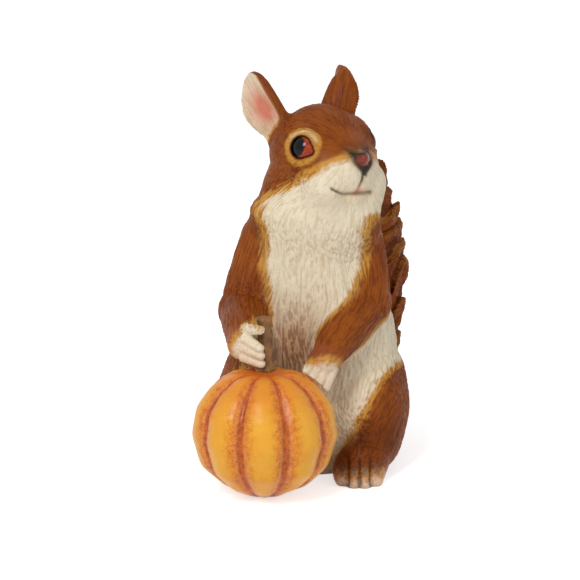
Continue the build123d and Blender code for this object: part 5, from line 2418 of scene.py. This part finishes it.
@dataclass
class Pumpkin:
    """Pumpkin and its stem.

    The shares are of the radius and the height, from the foot up.
    """

    centre: Span = (-20.4, -61.5)
    radius: float = 31.0
    height: float = 54.6
    lobes: int = 9
    turn: float = 9.0
    groove: float = 3.0
    spokes: int = 540
    rings: int = 150
    evenings: int = 20
    radius_shares: tuple[float, ...] = (0.15, 0.28, 0.58, 0.87, 1.0, 0.93, 0.72, 0.46, 0.2)
    height_shares: tuple[float, ...] = (0.0, 0.02, 0.10, 0.26, 0.5, 0.72, 0.88, 0.97, 0.985)
    narrow_valley: Groove = Groove(0.55, 0.12)
    wide_valley: Groove = Groove(0.45, 0.28)
    outward_lift: float = 0.6
    wobble: Grain = field(default_factory=lambda: Grain(71, 7.0, 14.0, 5))
    wobble_height: float = 0.12
    wobble_shift: float = 200.0
    waist: Span = (0.1, 0.4)
    groove_paint: float = 0.2
    edge_offset: float = 0.1
    edge_paint: float = 0.03
    edge_waist: Span = (0.3, 0.7)
    paint_waist: Span = (0.05, 0.4)
    pole_reach: Span = (0.42, 0.15)
    pole_level: Span = (0.5, 0.8)
    crown_level: Span = (0.66, 0.95)
    stem_foot: Place = (-20.4, -59.0, 54.4)
    stem_height: float = 22.0
    stem_radius: float = 3.7
    stem_lean: float = 1.6
    stem_twist: float = 0.03
    stem_spokes: int = 80
    stem_rings: int = 90
    stem_radius_shares: tuple[float, ...] = (1.1, 1.12, 0.86, 0.72, 0.76, 0.84, 0.74, 0.34)
    stem_height_shares: tuple[float, ...] = (-0.06, 0.0, 0.14, 0.5, 0.85, 0.95, 1.0, 0.985)
    stem_ribs: int = 5
    stem_rib_share: float = 0.11
    stem_lines: int = 13
    stem_line_share: float = 0.03
    finish: PumpkinFinish = PumpkinFinish()
    stem_finish: PlainFinish = PlainFinish(linear(148, 100, 42), linear(92, 60, 24), 0.5, 0.3)

    def _profile(self) -> Array:
        """Rounded profile of the pumpkin.

        Returns:
            Radius and height of each ring, from the foot up.
        """
        shares = np.stack([self.radius_shares, self.height_shares], axis=1)
        steps = np.diff(shares, axis=0) * [self.radius, self.height]
        way = np.concatenate([[0], np.cumsum(np.hypot(*steps.T))])
        fine = np.linspace(0, way[-1], self.rings)
        profile = np.stack([np.interp(fine, way, row) for row in shares.T], axis=1)
        for _ in range(self.evenings):
            profile[1:-1] = (profile[:-2] + 2 * profile[1:-1] + profile[2:]) / 4
        return profile * [self.radius / profile[:, 0].max(), self.height]

    def _flesh(self) -> tuple[Array, list[list[int]], dict[str, Array]]:
        """Mesh of the pumpkin.

        Returns:
            Corners, faces and masks.
        """
        corners, faces = lathe(self._profile(), self.spokes)
        x, y, z = corners.T
        place = ((np.arctan2(y, x) - math.radians(self.turn)) / (2 * math.pi) * self.lobes) % 1.0
        near = np.minimum(place, 1 - place)
        full = np.hypot(x, y) / self.radius
        valley = self.narrow_valley.cut(near) + self.wide_valley.cut(near)
        upright = np.tile([0.0, 0.0, 1.0], (len(corners), 1))
        wobble = self.wobble.streaks(corners + self.wobble_shift, upright) * self.wobble_height
        outward = unit(np.stack([x, y, (z - self.height / 2) * self.outward_lift], axis=1))
        sunk = self.groove * full * valley - wobble * smooth(*self.waist, full)
        corners = corners - outward * sunk[:, None]
        corners[:, 2] = np.maximum(corners[:, 2], 0.0)
        corners[:, :2] += np.array(self.centre)
        waist = smooth(*self.paint_waist, full)
        level = corners[:, 2] / self.height
        masks = {
            "groove": bell(near, self.groove_paint) * waist,
            "edge": bell(near - self.edge_offset, self.edge_paint) * smooth(*self.edge_waist, full),
            "lobe": 2 * near * waist,
            "pole": smooth(*self.pole_reach, full) * smooth(*self.pole_level, level),
            "crown": smooth(*self.crown_level, level),
        }
        return corners, faces, masks

    def _stem(self) -> tuple[Array, list[list[int]]]:
        """Mesh of the stem.

        Returns:
            Corners and faces.
        """
        rows = np.linspace(0, 1, len(self.stem_radius_shares))
        fine = np.linspace(0, 1, self.stem_rings)
        radii = np.interp(fine, rows, self.stem_radius_shares) * self.stem_radius
        levels = np.interp(fine, rows, self.stem_height_shares) * self.stem_height
        corners, faces = lathe(np.stack([radii, levels], axis=1), self.stem_spokes)
        twist = np.arctan2(corners[:, 1], corners[:, 0]) + corners[:, 2] * self.stem_twist
        swell = 1 + self.stem_rib_share * np.cos(self.stem_ribs * twist)
        swell = swell + self.stem_line_share * np.cos(self.stem_lines * twist + 1)
        corners[:, :2] *= swell[:, None]
        corners[:, 1] += self.stem_lean * np.clip(corners[:, 2] / self.stem_height, 0, 1)
        return corners + np.array(self.stem_foot), faces

    def build(self, effects: Effects) -> list[bpy.types.Object]:
        """Builds the pumpkin and its stem.

        Args:
            effects: Shared effects.

        Returns:
            The pieces.
        """
        flesh = make_object("pumpkin_flesh", *self._flesh(), self.finish.material("pumpkin", effects))
        stem = make_object("pumpkin_stalk", *self._stem(), {}, self.stem_finish.material("stem", effects))
        return [mount(flesh, "pumpkin"), mount(stem, "pumpkin_stem")]


@dataclass
class Stoppers:
    """Rubber stoppers of the two pour holes."""

    body_radius: float = 7.85
    body_height: float = 4.6
    body_centre: Span = (0.0, -14.0)
    pumpkin_radius: float = 2.85
    pumpkin_height: float = 3.4
    pumpkin_centre: Span = (-20.4, -61.5)
    dimple_shares: tuple[float, ...] = (0.3, 0.55, 0.62, 0.85, 0.95, 1.0)
    dimple_levels: tuple[float, ...] = (0.9, 0.8, 0.62, 0.6, 0.8, 1.1)
    top_shares: tuple[float, ...] = (1.0, 0.93, 0.5)
    top_bevel: float = 0.3
    spokes: int = 72
    finish: PlainFinish = PlainFinish(linear(222, 218, 210), linear(196, 190, 180), 0.6, 0.1)

    def _plug(self, radius: float, height: float, centre: Span) -> tuple[Array, list[list[int]]]:
        """Mesh of a stopper with a rim and a dimple.

        Args:
            radius: Radius of the stopper.
            height: Its height.
            centre: Its place.

        Returns:
            Corners and faces.
        """
        shares = np.array([*self.dimple_shares, *self.top_shares])
        levels = [*self.dimple_levels, height, height + self.top_bevel, height + self.top_bevel]
        corners, faces = lathe(np.stack([shares * radius, levels], axis=1), self.spokes)
        return corners + np.array([*centre, 0.0]), faces

    def build(self, effects: Effects) -> list[bpy.types.Object]:
        """Builds the stoppers.

        Args:
            effects: Shared effects.

        Returns:
            The pieces.
        """
        rubber = self.finish.material("plug", effects)
        body = self._plug(self.body_radius, self.body_height, self.body_centre)
        body = make_object("body_stopper", *body, {}, rubber)
        pumpkin = self._plug(self.pumpkin_radius, self.pumpkin_height, self.pumpkin_centre)
        pumpkin = make_object("pumpkin_stopper", *pumpkin, {}, rubber)
        return [mount(body, "body_plug"), mount(pumpkin, "pumpkin_plug")]


@dataclass
class Studio:
    """Camera, floor and light, in metres, degrees and watts."""

    world_level: float = 0.42
    key_power: float = 11.0
    key_place: Place = (-0.5, -1.0, 1.05)
    key_size: Span = (0.4, 0.6)
    fill_power: float = 1.5
    fill_place: Place = (0.9, -0.7, 0.5)
    fill_size: Span = (0.6, 0.6)
    lamp_aim: Place = (0.0, 0.0, 0.08)
    floor_glow: float = 0.62
    floor_size: float = 8.0
    floor_colour: Colour = (0.93, 0.93, 0.93)
    floor_roughness: float = 0.9
    white: Colour = (1.0, 1.0, 1.0)
    camera_place: Place = (-0.0098, -0.97815, 0.28371)
    camera_tilt: float = 78.0
    lens: float = 139.47
    sensor: float = 36.0
    clip_start: float = 0.01
    clip_end: float = 50.0

    def _camera(self) -> None:
        """Sets the camera at the angle of the photograph."""
        data = bpy.data.cameras.new("camera")
        data.lens = self.lens
        data.sensor_width = self.sensor
        data.clip_start = self.clip_start
        data.clip_end = self.clip_end
        camera = bpy.data.objects.new("camera", data)
        camera.location = self.camera_place
        camera.rotation_euler = (math.radians(self.camera_tilt), 0.0, 0.0)
        bpy.context.scene.collection.objects.link(camera)
        bpy.context.scene.camera = camera

    def _lamp(self, name: str, place: Place, size: Span, power: float) -> None:
        """Adds a soft lamp that points at the figure.

        Args:
            name: Name of the lamp.
            place: Where it stands.
            size: Width and height.
            power: Its power.
        """
        data = bpy.data.lights.new(name, "AREA")
        data.shape = "RECTANGLE"
        data.energy = power
        data.size, data.size_y = size
        lamp = bpy.data.objects.new(name, data)
        lamp.location = place
        aim = Vector(self.lamp_aim) - Vector(place)
        lamp.rotation_euler = aim.to_track_quat("-Z", "Y").to_euler()
        bpy.context.scene.collection.objects.link(lamp)

    def _world(self) -> None:
        """Lights the scene softly from all round before a white background."""
        world = bpy.data.worlds.new("studio")
        world.use_nodes = True
        bpy.context.scene.world = world
        graph = Graph(world.node_tree)
        back = world.node_tree.nodes["Background"]
        graph.feed(back.inputs["Color"], self.white)
        graph.feed(back.inputs["Strength"], graph.span(graph.shown(), 0, 1, self.world_level, 1.0))

    def _floor(self) -> None:
        """Lays the pale floor."""
        half = self.floor_size / 2
        surface = Surface("floor")
        glow = surface.graph.math("MULTIPLY", surface.graph.shown(), self.floor_glow)
        surface.set(Base_Color=self.floor_colour, Roughness=self.floor_roughness)
        surface.set(Emission_Color=self.white, Emission_Strength=glow)
        mesh = bpy.data.meshes.new("floor")
        corners = [(-half, -half, 0), (half, -half, 0), (half, half, 0), (-half, half, 0)]
        mesh.from_pydata(corners, [], [(0, 1, 2, 3)])
        mesh.materials.append(surface.material)
        floor = bpy.data.objects.new("floor", mesh)
        bpy.context.scene.collection.objects.link(floor)

    def build(self) -> None:
        """Sets up the studio."""
        self._camera()
        self._floor()
        self._world()
        self._lamp("key", self.key_place, self.key_size, self.key_power)
        self._lamp("fill", self.fill_place, self.fill_size, self.fill_power)
        bpy.context.scene.view_settings.view_transform = "Standard"


def main() -> None:
    """Builds the figure and its studio."""
    logging.basicConfig(level=logging.INFO, format="%(message)s")
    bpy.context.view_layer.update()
    effects = Effects()
    pieces = FurredFigure().build(frame["nodes"], effects)
    for assembly in (Eyes(), Pumpkin(), Stoppers()):
        pieces += assembly.build(effects)
    Studio().build()
    for piece in pieces:
        faces = len(piece.data.polygons)
        LOG.info("%s stands for %s: %d faces", piece.name, ", ".join(piece["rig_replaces"]), faces)


if __name__ == "__main__":
    main()
